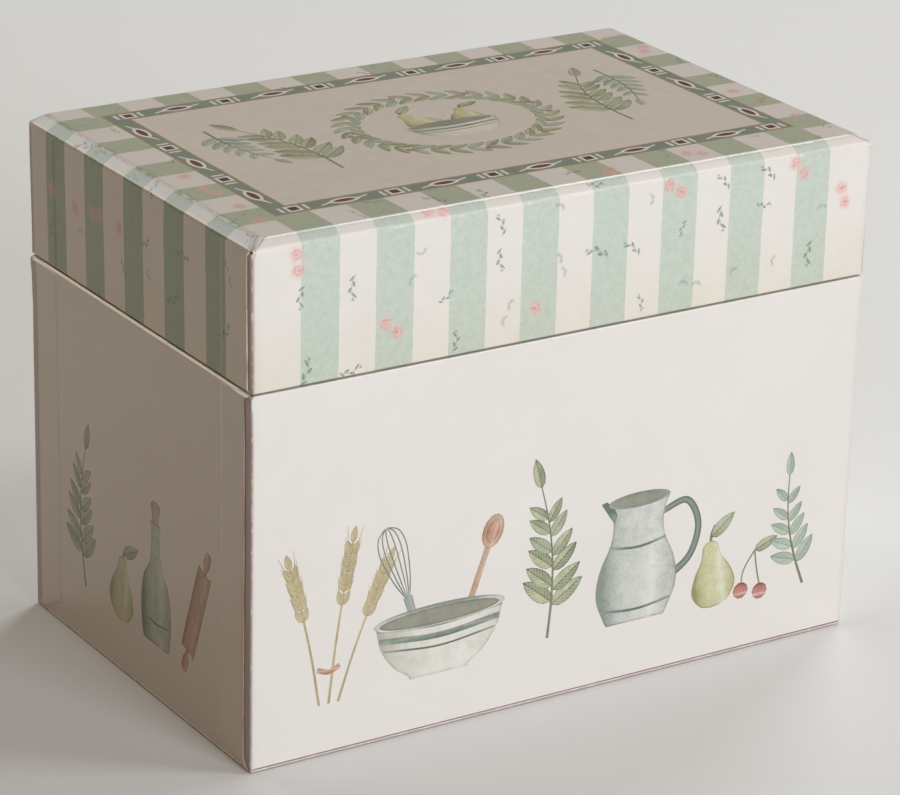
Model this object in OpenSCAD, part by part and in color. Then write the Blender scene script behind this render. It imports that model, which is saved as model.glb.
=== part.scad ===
// Recipe card box: a rigid greyboard box with a hinged flip lid, wrapped in printed paper.
// Origin at the centre of the underside. +X is to the right seen from the front, the front
// is at -Y and +Z is up. The lid is drawn closed, with the filed cards leaning back.

/* [Box] */
// Outside depth, front paper to back paper
box_d = 108; // [90:1:150]
// Outside height with the lid closed
box_h = 127; // [124:1:160]
// Height of the base, up to its papered rim
base_h = 91.5; // [70:0.5:100]
// Gap between the two rims, where the folded hinge strip lies
seam_gap = 0.6; // [0.5:0.05:1.2]

/* [Board and paper] */
// Thickness of the base's greyboard
base_board_t = 2.5; // [1.8:0.05:3]
// Thickness of the lid's greyboard, thinner so that the lid clears the neck
lid_board_t = 1.75; // [1.2:0.05:1.8]
// Thickness of the printed paper and of the lining paper
paper_t = 0.2; // [0.1:0.01:0.25]
// Kerf between the end walls and the long walls of a folded blank
blank_kerf = 0.15; // [0.05:0.01:0.4]
// Width of the bevel that the lid's double score leaves, across the top
bevel_w = 3; // [1:0.1:6]
// Height of the same bevel, down the wall
bevel_h = 1.9; // [0.5:0.1:4]
// Depth at which the folded paper cuts across each top corner of the lid
corner_tuck = 0.3; // [0.1:0.05:0.6]

/* [Paper folds] */
// Length of the ears that the long walls' paper turns round the corners
ear_len = 13; // [6:0.5:20]
// Distance from a corner to the cut edge of the base's end paper
base_edge_short = 3; // [1:0.1:5]
// Distance from a corner to the cut edge of the lid's end paper
lid_edge_short = 1.8; // [0.5:0.1:4]
// Height of the paper turned in over each rim
turn_in = 15; // [10:0.5:20]
// Width of the paper turned under the base
turn_under = 14; // [8:0.5:20]
// Distance from the base's edge to the sheet glued under it
foot_inset = 2; // [1:0.1:5]

/* [Corner stays] */
// Width of each leg of the tape that holds a corner
stay_w = 11; // [6:0.5:15]
// Thickness of that tape, pressed into the board
stay_t = 0.15; // [0.08:0.01:0.3]
// Distance from the tape's ends to the board's edges
stay_inset = 2.5; // [1:0.5:6]

/* [Neck] */
// Thickness of the papered card panels that stand up as the neck
neck_t = 1.2; // [0.8:0.1:2]
// Height of the neck above the base's rim
neck_rise = 9; // [4:0.5:10]
// Corner radius at the top of the front neck panel
neck_r = 3; // [1:0.5:5]
// Length of the slant at the back of each side panel
neck_slant = 12; // [6:1:20]

/* [Hinge] */
// Thickness of the hinge strip
hinge_t = 0.2; // [0.12:0.01:0.22]
// Height of each leaf of the hinge strip on its inner wall
hinge_leaf = 13; // [8:0.5:18]
// Distance from the strip's ends to the inner end walls
hinge_inset = 1; // [0.5:0.1:4]
// Running clearance round the rolled fold of the strip
hinge_play = 0.04; // [0.02:0.01:0.08]

/* [Linings] */
// Bare margin between a lining's edge and the rim or corner beside it
lining_margin = 3; // [2:0.5:6]
// Slack round the sheet on the base's floor
floor_slack = 0.3; // [0.1:0.1:1]

/* [Cards] */
// Width of a recipe card, which the box's width follows
card_w = 152.4; // [100:0.1:210]
// Play between the cards and each end panel of the neck
side_play = 3.5; // [1.5:0.1:8]
// Height of a recipe card
card_h = 101.6; // [80:0.1:104]
// Thickness of a recipe card
card_t = 0.3; // [0.2:0.01:0.4]
// Distance from card to card in a filed bunch
card_pitch = 0.38; // [0.3:0.01:0.5]
// Cards filed behind each divider
cards_per_group = 7; // [3:1:9]
// Sideways stray of a card from its neighbours
card_stray = 0.6; // [0:0.1:1.2]
// Corner radius of the cards
card_r = 1.2; // [0.5:0.1:4]

/* [Dividers] */
// Thickness of a divider
divider_t = 0.5; // [0.3:0.05:0.8]
// Height of a divider's tab
tab_h = 12.7; // [8:0.1:14]
// Corner radius of a tab
tab_r = 2.6; // [1:0.1:3.5]
// Slack between one tab's place and the next
tab_slack = 0.6; // [0.2:0.1:2]
// Free space between one filed group and the next
group_gap = 0.95; // [0.6:0.05:0.99]
// Angle at which the filed cards lean back
lean = 3; // [2:0.1:4]
// Clearance of the cards over the floor and in front of the back lining
card_play = 0.3; // [0.2:0.05:0.5]

/* [Hidden] */
$fn = 32;
// Overshoot of a cut past the face that it opens
cut = 1;
// Outside width: the cards, their play, the neck, the turned-in paper, the board and its papers
box_w = card_w + 2 * (side_play + neck_t + base_board_t + 3 * paper_t);
// Half width and half depth of the boards: two papers lie on the ends, one on the long walls
board_x = box_w / 2 - 2 * paper_t;
board_y = box_d / 2 - paper_t;
// The base board stands on the sheet under it and on the paper turned in between
base_board_z = 2 * paper_t;
base_board_top = base_h - paper_t;
floor_z = base_board_z + base_board_t + paper_t;
base_in_x = board_x - base_board_t;
base_in_y = board_y - base_board_t;
// The neck stands against the turned-in paper
neck_x = base_in_x - paper_t;
neck_y = base_in_y - paper_t;
neck_top = base_h + neck_rise;
// Front of the back lining, over the turned-in paper and the hinge leaf
back_y = base_in_y - 2 * paper_t - hinge_t;
// The lid
lid_z = base_h + seam_gap;
lid_board_z = lid_z + paper_t;
lid_board_top = box_h - paper_t;
lid_in_x = board_x - lid_board_t;
lid_in_y = board_y - lid_board_t;
lid_lining_z = neck_top + lining_margin;
lid_turn_top = lid_lining_z + lining_margin;
// The hinge strip folds about this line, flush with the back
hinge_y = box_d / 2;
hinge_z = base_h + seam_gap / 2;
fold_r = (seam_gap - hinge_t) / 2;
hinge_x = neck_x - hinge_inset;
// The filed groups, counted from the front, each a divider and the cards behind it
groups = 5;
bunch_y = divider_t + card_pitch - card_t;
group_t = bunch_y + (cards_per_group - 1) * card_pitch + card_t;
group_pitch = group_t / cos(lean) + group_gap;
card_z = floor_z + card_play;
rear_y = back_y - card_play - (base_h - card_z) * tan(lean);
tab_w = card_w / groups - tab_slack;

// Where the front foot of a group stands, in Y
function group_y(k) = rear_y - group_t / cos(lean) - (groups - k) * group_pitch;

// How far the bevel runs down the wall and in along the top once its outline moves in by d
bevel_l = norm([bevel_w, bevel_h]);
function bevel_down(d) = bevel_h + d * (bevel_l - bevel_h) / bevel_w;
function bevel_across(d) = bevel_w + d * (bevel_l - bevel_w) / bevel_h;

// A block centred on the Z axis, between two heights
module block(hx, hy, z0, z1) {
    translate([-hx, -hy, z0])
        cube([2 * hx, 2 * hy, z1 - z0]);
}

// A rectangle with its lower left corner at the origin and all four corners round
module round_rect(w, h, r) {
    translate([r, 0])
        square([w - 2 * r, h]);
    translate([0, r])
        square([w, h - 2 * r]);
    for (x = [r, w - r], y = [r, h - r])
        translate([x, y])
            circle(r);
}

// Copies its child, drawn for the corner at +X and +Y, to all four corners
module at_corners() {
    for (mx = [0, 1], my = [0, 1])
        mirror([mx, 0, 0])
            mirror([0, my, 0])
                children();
}

// Runs a section along the two long walls: its x is the distance out from the middle
module along_fronts(half_length) {
    for (a = [0, 180])
        rotate([0, 0, a])
            rotate([90, 0, -90])
                linear_extrude(2 * half_length, center = true)
                    children();
}

// Runs a section along the two end walls
module along_ends(half_length) {
    for (a = [0, 180])
        rotate([0, 0, a])
            rotate([90, 0, 0])
                linear_extrude(2 * half_length, center = true)
                    children();
}

// Gaps between the long walls and the end walls of a blank, where its corners close
module corner_kerfs(in_x, in_y, z0, z1) {
    at_corners()
        translate([in_x, in_y - blank_kerf, z0])
            cube([box_w / 2 - in_x, blank_kerf, z1 - z0]);
}

// Tapes bent round the vertical corners of a board, pressed in flush
module corner_stays(z0, z1) {
    at_corners()
        translate([board_x, board_y, z0 + stay_inset])
            linear_extrude(z1 - z0 - 2 * stay_inset)
                difference() {
                    translate([-stay_w, -stay_w])
                        square(stay_w);
                    translate([-stay_w - stay_t, -stay_w - stay_t])
                        square(stay_w);
                }
}

module base_board() {
    color("darkgray")
        difference() {
            block(board_x, board_y, base_board_z, base_board_top);
            block(base_in_x, base_in_y, base_board_z + base_board_t, base_h + cut);
            corner_kerfs(base_in_x, base_in_y, base_board_z + base_board_t, base_h + cut);
            corner_stays(base_board_z, base_board_top);
        }
}

module base_corner_stays() {
    color("tan")
        corner_stays(base_board_z, base_board_top);
}

// Paper on a wall of the base: a flap turned under, the face, and the strip over the rim
module base_paper_section(face, inner) {
    translate([face - turn_under, paper_t])
        square([turn_under + paper_t, paper_t]);
    translate([face, paper_t])
        square([paper_t, base_h - paper_t]);
    translate([inner - paper_t, base_board_top])
        square([face - inner + 2 * paper_t, paper_t]);
}

// Paper turned down inside the rim
module base_turn_in_section(inner) {
    translate([inner - paper_t, base_h - turn_in])
        square([paper_t, turn_in]);
}

// The ear that a long wall's paper turns round a corner, cut slantwise at both ends
module ear() {
    translate([board_x, board_y + paper_t, 0])
        rotate([90, 0, 90])
            linear_extrude(paper_t)
                polygon([
                    [0, paper_t],
                    [-ear_len, paper_t + ear_len / 2],
                    [-ear_len, base_h - ear_len / 3],
                    [0, base_h]
                ]);
}

module base_wrap() {
    color("antiquewhite") {
        along_fronts(board_x)
            base_paper_section(board_y, base_in_y);
        along_fronts(base_in_x)
            base_turn_in_section(base_in_y);
        at_corners()
            ear();
        // The end paper lies on the board between the ears
        along_ends(board_y - ear_len)
            base_paper_section(board_x, base_in_x);
        along_ends(base_in_y)
            base_turn_in_section(base_in_x);
        // and on the ears beside the corners, where it stops short
        at_corners()
            translate([0, board_y - ear_len - paper_t, 0])
                rotate([90, 0, 0])
                    mirror([0, 0, 1])
                        linear_extrude(ear_len + paper_t - base_edge_short)
                            base_paper_section(board_x + paper_t, base_in_x);
    }
}

module bottom_paper() {
    color("ivory")
        block(box_w / 2 - foot_inset, box_d / 2 - foot_inset, 0, paper_t);
}

module floor_lining() {
    color("palegoldenrod")
        block(neck_x - floor_slack, neck_y - floor_slack, floor_z - paper_t, floor_z);
}

// The back wall's lining lies on the board and steps over the turned-in paper and the hinge leaf
module back_lining() {
    step_z = base_h - max(turn_in, hinge_leaf) - paper_t;
    color("palegoldenrod")
        rotate([90, 0, 90])
            linear_extrude(2 * neck_x, center = true) {
                translate([base_in_y - paper_t, floor_z])
                    square([paper_t, step_z + paper_t - floor_z]);
                translate([back_y, step_z])
                    square([base_in_y - back_y, paper_t]);
                translate([back_y, step_z])
                    square([paper_t, base_h - lining_margin - step_z]);
            }
}

// The front panel's upper corners are round, and it runs from end wall to end wall
module neck_front() {
    color("palegoldenrod")
        translate([-neck_x, neck_t - neck_y, floor_z])
            rotate([90, 0, 0])
                linear_extrude(neck_t) {
                    round_rect(2 * neck_x, neck_top - floor_z, neck_r);
                    square([2 * neck_x, neck_top - floor_z - neck_r]);
                }
}

// The end panels butt against the front one and slant down to the rim at the back
module neck_end() {
    front = neck_t - neck_y;
    rotate([90, 0, 90])
        linear_extrude(neck_t)
            polygon([
                [front, floor_z],
                [back_y, floor_z],
                [back_y, base_h],
                [back_y - neck_slant, neck_top],
                [front, neck_top]
            ]);
}

module neck_left() {
    color("palegoldenrod")
        translate([-neck_x, 0, 0])
            neck_end();
}

module neck_right() {
    color("palegoldenrod")
        translate([neck_x - neck_t, 0, 0])
            neck_end();
}

// The base's leaf lines the back wall, lies on the rim and carries the rolled fold
module hinge_base_leaf() {
    inner = base_in_y - paper_t - hinge_t;
    color("darkseagreen")
        rotate([90, 0, 90])
            linear_extrude(2 * hinge_x, center = true) {
                translate([inner, base_h - hinge_leaf])
                    square([hinge_t, hinge_leaf + hinge_t]);
                translate([inner, base_h])
                    square([hinge_y - inner, hinge_t]);
                intersection() {
                    translate([hinge_y, hinge_z])
                        circle(fold_r);
                    translate([hinge_y - fold_r, base_h])
                        square([fold_r, seam_gap]);
                }
            }
}

// The lid's leaf lies on the lid's rim, hollowed round the fold, and runs up its back wall
module hinge_lid_leaf() {
    inner = lid_in_y - paper_t - hinge_t;
    color("darkseagreen")
        rotate([90, 0, 90])
            linear_extrude(2 * hinge_x, center = true)
                difference() {
                    union() {
                        translate([inner, lid_z - hinge_t])
                            square([hinge_t, hinge_leaf + hinge_t]);
                        translate([inner, lid_z - hinge_t])
                            square([hinge_y - inner, hinge_t]);
                    }
                    translate([hinge_y, hinge_z])
                        circle(fold_r + hinge_play);
                }
}

// Outline of the lid across one direction, moved in by d, from z0 up to its bevelled top
module bevel_outline(half, d, z0) {
    side = half - d;
    top = lid_board_top - d;
    polygon([
        [-side, z0], [side, z0],
        [side, lid_board_top - bevel_down(d)], [half - bevel_across(d), top],
        [bevel_across(d) - half, top], [-side, lid_board_top - bevel_down(d)]
    ]);
}

// The folded lid moved in by d: both outlines run through each other, so the bevels mitre,
// and the folded paper cuts across the mitres where the board's flaps don't meet
module lid_form(d, z0) {
    reach = 2 * bevel_l;
    tilt = atan2(sqrt(2) * bevel_h, 2 * bevel_w);
    difference() {
        intersection() {
            along_fronts(board_x - d)
                bevel_outline(board_y, d, z0);
            along_ends(board_y - d)
                bevel_outline(board_x, d, z0);
        }
        at_corners()
            translate([board_x - d, board_y - d, lid_board_top - bevel_down(d)])
                rotate([0, tilt, 45])
                    translate([-reach, -reach, -corner_tuck])
                        cube([2 * reach, 2 * reach, reach]);
    }
}

module lid_board() {
    color("darkgray")
        difference() {
            lid_form(0, lid_board_z);
            lid_form(lid_board_t, lid_board_z - cut);
            corner_kerfs(lid_in_x, lid_in_y, lid_board_z - cut, lid_board_top - bevel_h);
            corner_stays(lid_board_z, lid_board_top - bevel_h);
        }
}

module lid_corner_stays() {
    color("tan")
        corner_stays(lid_board_z, lid_board_top - bevel_h);
}

module lid_wrap() {
    in_x = lid_in_x - paper_t;
    in_y = lid_in_y - paper_t;
    color("honeydew") {
        difference() {
            lid_form(-paper_t, lid_z);
            lid_form(0, lid_board_z);
            block(in_x, in_y, lid_z - cut, lid_board_z + cut);
        }
        difference() {
            block(lid_in_x, lid_in_y, lid_z, lid_turn_top);
            block(in_x, in_y, lid_z - cut, lid_turn_top + cut);
        }
        // The end paper's second layer, where it lies on the ears
        at_corners()
            translate([board_x, board_y - ear_len, lid_z])
                cube([2 * paper_t, ear_len - lid_edge_short, lid_board_top - bevel_h - lid_z]);
    }
}

// The lining lies on the lid's board and steps over the turned-in paper and the hinge leaf
module lid_lining() {
    over = lid_board_t + paper_t + hinge_t;
    color("palegoldenrod")
        difference() {
            union() {
                lid_form(lid_board_t, lid_turn_top);
                block(board_x - over, board_y - over, lid_lining_z, lid_turn_top + paper_t);
            }
            lid_form(lid_board_t + paper_t, lid_turn_top + paper_t);
            block(board_x - over - paper_t, board_y - over - paper_t,
                lid_lining_z - cut, lid_turn_top + 2 * paper_t);
        }
}

// A filed group stands on the floor and leans back about its front foot
module filed(k) {
    translate([0, group_y(k), card_z])
        rotate([-lean, 0, 0])
            children();
}

// A sheet that stands on its lower edge, its front face at Y 0
module standing_sheet(t) {
    rotate([90, 0, 0])
        translate([-card_w / 2, 0, -t])
            linear_extrude(t)
                children();
}

// A divider's round-cornered tab takes one fifth of its width, a place further along each time
module divider(k) {
    tab_x = (k - 0.5) * card_w / groups;
    color(["darkseagreen", "tan", "rosybrown", "khaki", "cadetblue"][k - 1])
        filed(k)
            standing_sheet(divider_t) {
                round_rect(card_w, card_h, card_r);
                translate([tab_x - tab_w / 2, card_h - 2 * tab_r])
                    round_rect(tab_w, tab_h + 2 * tab_r, tab_r);
            }
}

// Cards behind a divider: each steps back by the pitch, stands on the floor and strays sideways
module cards(k) {
    color("white")
        filed(k)
            for (i = [0 : cards_per_group - 1]) {
                y = bunch_y + i * card_pitch;
                stray = card_stray * sin(137 * i + 71 * k);
                translate([stray, y, y * tan(lean)])
                    standing_sheet(card_t)
                        round_rect(card_w, card_h, card_r);
            }
}

module divider_1() divider(1);
module divider_2() divider(2);
module divider_3() divider(3);
module divider_4() divider(4);
module divider_5() divider(5);
module cards_1() cards(1);
module cards_2() cards(2);
module cards_3() cards(3);
module cards_4() cards(4);
module cards_5() cards(5);

base_board();
base_corner_stays();
base_wrap();
bottom_paper();
floor_lining();
back_lining();
neck_front();
neck_left();
neck_right();
hinge_base_leaf();
lid_board();
lid_corner_stays();
lid_wrap();
lid_lining();
hinge_lid_leaf();
divider_1();
divider_2();
divider_3();
divider_4();
divider_5();
cards_1();
cards_2();
cards_3();
cards_4();
cards_5();
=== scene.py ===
import math
import random

import bmesh
import bpy
import numpy as np
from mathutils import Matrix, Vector
from mathutils.geometry import delaunay_2d_cdt


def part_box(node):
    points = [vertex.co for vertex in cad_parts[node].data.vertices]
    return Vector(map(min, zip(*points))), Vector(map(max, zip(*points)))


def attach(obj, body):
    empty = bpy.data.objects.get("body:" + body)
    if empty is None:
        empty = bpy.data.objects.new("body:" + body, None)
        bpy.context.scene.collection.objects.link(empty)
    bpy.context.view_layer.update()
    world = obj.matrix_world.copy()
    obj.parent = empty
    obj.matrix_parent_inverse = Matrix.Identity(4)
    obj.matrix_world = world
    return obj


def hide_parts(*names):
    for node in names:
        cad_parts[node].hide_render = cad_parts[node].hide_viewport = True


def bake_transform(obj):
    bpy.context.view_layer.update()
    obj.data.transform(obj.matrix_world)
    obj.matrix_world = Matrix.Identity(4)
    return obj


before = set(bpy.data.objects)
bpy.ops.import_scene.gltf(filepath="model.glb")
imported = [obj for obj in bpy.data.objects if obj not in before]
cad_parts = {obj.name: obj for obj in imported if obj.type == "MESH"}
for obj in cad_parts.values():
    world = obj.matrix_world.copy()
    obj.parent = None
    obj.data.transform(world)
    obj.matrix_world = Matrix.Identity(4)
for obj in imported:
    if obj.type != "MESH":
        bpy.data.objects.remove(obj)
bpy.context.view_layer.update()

# Base board: one greyboard blank, scored, folded up and taped at its corners. The board is grey
# chip with short fibres and darker flecks, and shows only where a kerf or a lifted edge opens.
# The CAD solid keeps its shape here, and everything papered on follows it.
MM = 0.001


def place(tree, kind, inputs=None, **settings):
    """Puts one node in a material and wires or sets its inputs."""
    node = tree.nodes.new("ShaderNode" + kind)
    for name, value in settings.items():
        setattr(node, name, value)
    for name, value in (inputs or {}).items():
        wire(tree, value, node.inputs[name])
    return node


def wire(tree, value, socket):
    """Feeds a socket with a signal, or sets it to a plain number or colour."""
    if isinstance(value, Signal):
        tree.links.new(value.socket, socket)
    else:
        socket.default_value = value


class Signal:
    """A value on its way through a material, which adds and multiplies as numbers do."""

    def __init__(self, tree, socket):
        self.tree = tree
        self.socket = socket

    def through(self, operation, *others, clamp=False):
        node = self.tree.nodes.new("ShaderNodeMath")
        node.operation = operation
        node.use_clamp = clamp
        for socket, value in zip(node.inputs, (self, *others)):
            wire(self.tree, value, socket)
        return Signal(self.tree, node.outputs[0])

    def __add__(self, other):
        return self.through("ADD", other)

    def __sub__(self, other):
        return self.through("SUBTRACT", other)

    def __mul__(self, other):
        return self.through("MULTIPLY", other)

    def __truediv__(self, other):
        return self.through("DIVIDE", other)

    __radd__ = __add__
    __rmul__ = __mul__

    def below(self, limit, blur):
        """1 where the signal is under the limit, 0 above it, with a soft step between."""
        ramp = place(self.tree, "MapRange", {
            "Value": self, "From Min": limit - blur, "From Max": limit + blur,
            "To Min": 1.0, "To Max": 0.0}, interpolation_type="SMOOTHSTEP")
        return Signal(self.tree, ramp.outputs["Result"])

    def wrapped(self, pitch):
        """Distance to the nearest multiple of the pitch."""
        return self.through("PINGPONG", pitch / 2)

    def at_least(self, other):
        return self.through("MAXIMUM", other)

    def at_most(self, other):
        return self.through("MINIMUM", other)


def out(tree, node, name):
    return Signal(tree, node.outputs[name])


def rgb(code):
    """A colour written as six hex digits, as Blender's linear values."""
    parts = [int(code[i:i + 2], 16) / 255 for i in (0, 2, 4)]
    linear = [c / 12.92 if c <= 0.04045 else ((c + 0.055) / 1.055) ** 2.4 for c in parts]
    return (*linear, 1.0)


def tinted(tree, share, first, second):
    """The first colour going over into the second as the share goes from 0 to 1."""
    mix = tree.nodes.new("ShaderNodeMix")
    mix.data_type = "RGBA"
    wire(tree, share, mix.inputs["Factor"])
    wire(tree, first, mix.inputs[6])
    wire(tree, second, mix.inputs[7])
    return Signal(tree, mix.outputs[2])


def multiplied(tree, share, colour, by):
    """The colour, darkened by another one as far as the share goes from 0 to 1."""
    mix = place(tree, "Mix", data_type="RGBA", blend_type="MULTIPLY")
    wire(tree, share, mix.inputs["Factor"])
    wire(tree, colour, mix.inputs[6])
    wire(tree, by, mix.inputs[7])
    return Signal(tree, mix.outputs[2])


def clouds(tree, vector, size_mm, detail=3.0, stretch=(1, 1, 1)):
    """Soft random variation from 0 to 1 whose patches measure about size_mm."""
    scale = 1 / (size_mm * MM)
    spread = place(tree, "Mapping", {"Vector": vector, "Scale": [scale * s for s in stretch]})
    noise = place(tree, "TexNoise", {
        "Vector": out(tree, spread, "Vector"), "Scale": 1.0, "Detail": detail, "Roughness": 0.6})
    return out(tree, noise, "Fac")


def surface(name, colour=None, roughness=0.8, **sockets):
    """A new material: its tree, its coordinates and the shader that the caller wires up."""
    material = bpy.data.materials.new(name)
    material.use_nodes = True
    tree = material.node_tree
    shader = tree.nodes["Principled BSDF"]
    shader.inputs["Roughness"].default_value = roughness
    for socket, value in sockets.items():
        shader.inputs[socket].default_value = value
    coordinates = place(tree, "TexCoord")
    return material, tree, out(tree, coordinates, "Object"), shader


def dress(node, material):
    """Gives a CAD node its finish."""
    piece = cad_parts[node]
    piece.data.materials.clear()
    piece.data.materials.append(material)
    return piece


def greyboard():
    material, tree, at, shader = surface("greyboard", roughness=0.92)
    flecks = clouds(tree, at, 0.35, 2.0).below(0.34, 0.03)
    pulp = clouds(tree, at, 1.6, 5.0)
    grey = tinted(tree, pulp, rgb("7d7a72"), rgb("a39f94"))
    wire(tree, tinted(tree, flecks * 0.6, grey, rgb("4f4b45")), shader.inputs["Base Color"])
    fibres = place(tree, "Bump", {"Height": clouds(tree, at, 0.3, 4.0), "Strength": 0.35,
                                  "Distance": 0.0001})
    wire(tree, out(tree, fibres, "Normal"), shader.inputs["Normal"])
    return material


board_finish = greyboard()
dress("base_board", board_finish)
dress("lid_board", board_finish)

# Corner stays: gummed kraft tape, wetted and pressed round each vertical corner of a blank before
# it is papered. It is brown, ribbed along its length and slightly glossy from the dried gum.


def stay_tape():
    material, tree, at, shader = surface("stay_tape", roughness=0.55)
    ribs = clouds(tree, at, 0.5, 2.0, (1, 1, 0.05))
    patches = clouds(tree, at, 5.0, 4.0)
    kraft = tinted(tree, ribs * 0.6 + patches * 0.4, rgb("8a6a45"), rgb("b8966a"))
    wire(tree, kraft, shader.inputs["Base Color"])
    bump = place(tree, "Bump", {"Height": ribs, "Strength": 0.3, "Distance": 0.0001})
    wire(tree, out(tree, bump, "Normal"), shader.inputs["Normal"])
    return material


tape_finish = stay_tape()
dress("base_corner_stays", tape_finish)
dress("lid_corner_stays", tape_finish)

# Base wrap: printed paper, film-laminated and glued round the base board. The long walls' paper
# turns round the corners as ears, the end paper lies over them and stops short of the corner,
# and every wall's paper is turned over the rim and under the base.


def corners(node):
    """Lowest and highest corner of a CAD node, in millimetres."""
    low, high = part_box(node)
    return low / MM, high / MM


base_board_low, base_board_high = corners("base_board")
base_wrap_low, base_wrap_high = corners("base_wrap")
paper = base_wrap_high.y - base_board_high.y
wrap_x = base_board_high.x + paper
wrap_y = base_wrap_high.y
base_rim = base_wrap_high.z
base_foot = base_wrap_low.z
base_wall = wrap_x + corners("neck_left")[0].x
ear_length = 13.0
turned_in = 15.0
turned_under = 14.0
fold_radius = 0.6

FRONT_COLUMNS = 30
END_COLUMNS = 12
ARC_COLUMNS = 5
CORNER_STEPS = (0.22, 0.75, 1.9)
EDGE_STEP = 0.8
EAR_SLOPE = ((0.0, 1.0), (0.35, 0.75), (0.7, 0.25), (1.05, 0.0))
CUT_LIFT = 0.14


def ease(t):
    t = min(1.0, max(0.0, t))
    return t * t * (3 - 2 * t)


def half_ring(z, inset, radius, lap, short, ear):
    """Half of one level of the papered box, from the front left corner round to the back right.
    The end paper rises by lap at its cut edge, short of the corner, and sinks past the ear."""
    hx, hy = (wrap_x - inset, wrap_y - inset) if isinstance(inset, float) else (
        wrap_x - inset[0], wrap_y - inset[1])
    short = max(short, radius + 0.45)
    ear = max(ear, short + 0.6)
    reach = hx - radius
    inner = reach - CORNER_STEPS[-1]
    even = FRONT_COLUMNS - 2 * len(CORNER_STEPS)
    front = [-reach] + [step - reach for step in CORNER_STEPS]
    front += [inner * (2 * i / even - 1) for i in range(1, even)]
    front = [(x, -hy) for x in front + [reach - step for step in reversed(CORNER_STEPS)] + [reach]]
    arc = []
    for i in range(1, ARC_COLUMNS):
        turn = math.pi / 2 * i / ARC_COLUMNS
        arc.append((reach + radius * math.sin(turn), -hy + radius * (1 - math.cos(turn))))
    near = [(radius, 0.0), (short - 0.34, 0.0), (short - 0.03, 0.0),
            (short + 0.03, lap + CUT_LIFT * lap / paper), (short + EDGE_STEP, lap)]
    near += [(ear + run, lap * share) for run, share in EAR_SLOPE]
    start = near[-1][0]
    bare = 2 * (hy - start)
    middle = [(start + bare * i / END_COLUMNS, 0.0) for i in range(1, END_COLUMNS)]
    far = [(2 * hy - run, rise) for run, rise in reversed(near)]
    side = [(hx + rise, run - hy) for run, rise in near + middle + far]
    back = [(x, -y) for x, y in reversed(arc)]
    return [(x, y, z) for x, y in front + arc + side + back]


def ring(z, inset, radius=0.1, lap=0.0, short=0.0, ear=ear_length):
    half = half_ring(z, inset, radius, lap, short, ear)
    return half + [(-x, -y, z) for x, y, z in half]


# What each strip between two columns is: paper of a long wall, its ear, the end paper's cut edge
# or the end paper.
HALF_STRIPS = (["long"] * FRONT_COLUMNS + ["ear"] * (ARC_COLUMNS + 2) + ["cut"]
               + ["end"] * (2 * len(EAR_SLOPE) + END_COLUMNS + 2)
               + ["cut"] + ["ear"] * (ARC_COLUMNS + 2))
STRIPS = HALF_STRIPS * 2
LONG_PANEL = range(len(CORNER_STEPS), FRONT_COLUMNS - len(CORNER_STEPS))
CUT = HALF_STRIPS.index("cut")
END_PANEL = range(CUT + len(EAR_SLOPE) + 2, CUT + len(EAR_SLOPE) + 2 + END_COLUMNS)


# Ear soil from the corner to the cut edge, ending in a painted shadow beside it; and painted shade on the
# long wall's paper next to the corner, column by column.
EAR_SOIL_AND_SHADOW = (0.1, 0.35, 0.6, 0.65, 0.6, 0.5, 0.6, 1.5)
LONG_CORNER_SHADE = (0.1, 0.06, 0.02, 0.0)


def soiled_and_shaded(strip, column):
    """How dark a wall's paper is at one side of a strip, mostly from 0 to 1, in part soil and in
    part painted shade: the ears are soiled with handling and darkest in a painted shadow beside
    the end paper's cut edge, the cut edge and a line along it are darker, and painted shade
    darkens the long wall's paper next to each rounded corner."""
    half = len(HALF_STRIPS)
    strip, column = strip % half, column % half
    if strip > column:
        column += half
    column = min(column, half + FRONT_COLUMNS - column) if column > FRONT_COLUMNS else column
    if STRIPS[strip] == "ear":
        return EAR_SOIL_AND_SHADOW[column - FRONT_COLUMNS]
    if STRIPS[strip] == "end":
        return 0.6 if column == CUT + 1 else 0.0
    if STRIPS[strip] == "cut":
        return 0.8
    return LONG_CORNER_SHADE[min(3, column, FRONT_COLUMNS - column)]


def pleat_crease_shade(strip, column):
    """Painted shade on the lid's bevel: clean, but dark along the two creases of the pleat at each
    corner.
    """
    half = len(HALF_STRIPS)
    away = min(abs(column % half - FRONT_COLUMNS), column % half, half - column % half)
    first = away == 0 and STRIPS[strip] in ("long", "ear")
    away = min(abs(column % half - FRONT_COLUMNS - ARC_COLUMNS),
               abs(half - ARC_COLUMNS - column % half))
    return 1.0 if first else 0.9 if away == 0 and STRIPS[strip] == "ear" else 0.0


# Depth of the pit at the pleat's open end, column by column from the corner, and the strength of its
# painted shadow.
PLEAT_HOLE_PIT_AND_SHADOW = (0, 0, 0.1, 0.5, 1.0, 1.0, 0.4)


def pleat_hole_shadow(strip, column):
    """Painted shadow round the small dark hole at the pleat's lower end."""
    half = len(HALF_STRIPS)
    place_in = min(abs(column % half - FRONT_COLUMNS), (half - column % half) % half)
    if STRIPS[strip] != "ear" or place_in >= len(PLEAT_HOLE_PIT_AND_SHADOW):
        return 0.0
    return 2.2 * PLEAT_HOLE_PIT_AND_SHADOW[place_in]


def on_corner(column):
    """1 in the middle of a rounded vertical corner, 0 at its ends and elsewhere."""
    half = len(HALF_STRIPS)
    away = min(abs(column % half - FRONT_COLUMNS - ARC_COLUMNS / 2),
               abs(half - ARC_COLUMNS / 2 - column % half))
    return max(0.0, 1 - away / (ARC_COLUMNS / 2 + 0.5))


CORNER_RUB = 1.05


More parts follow.
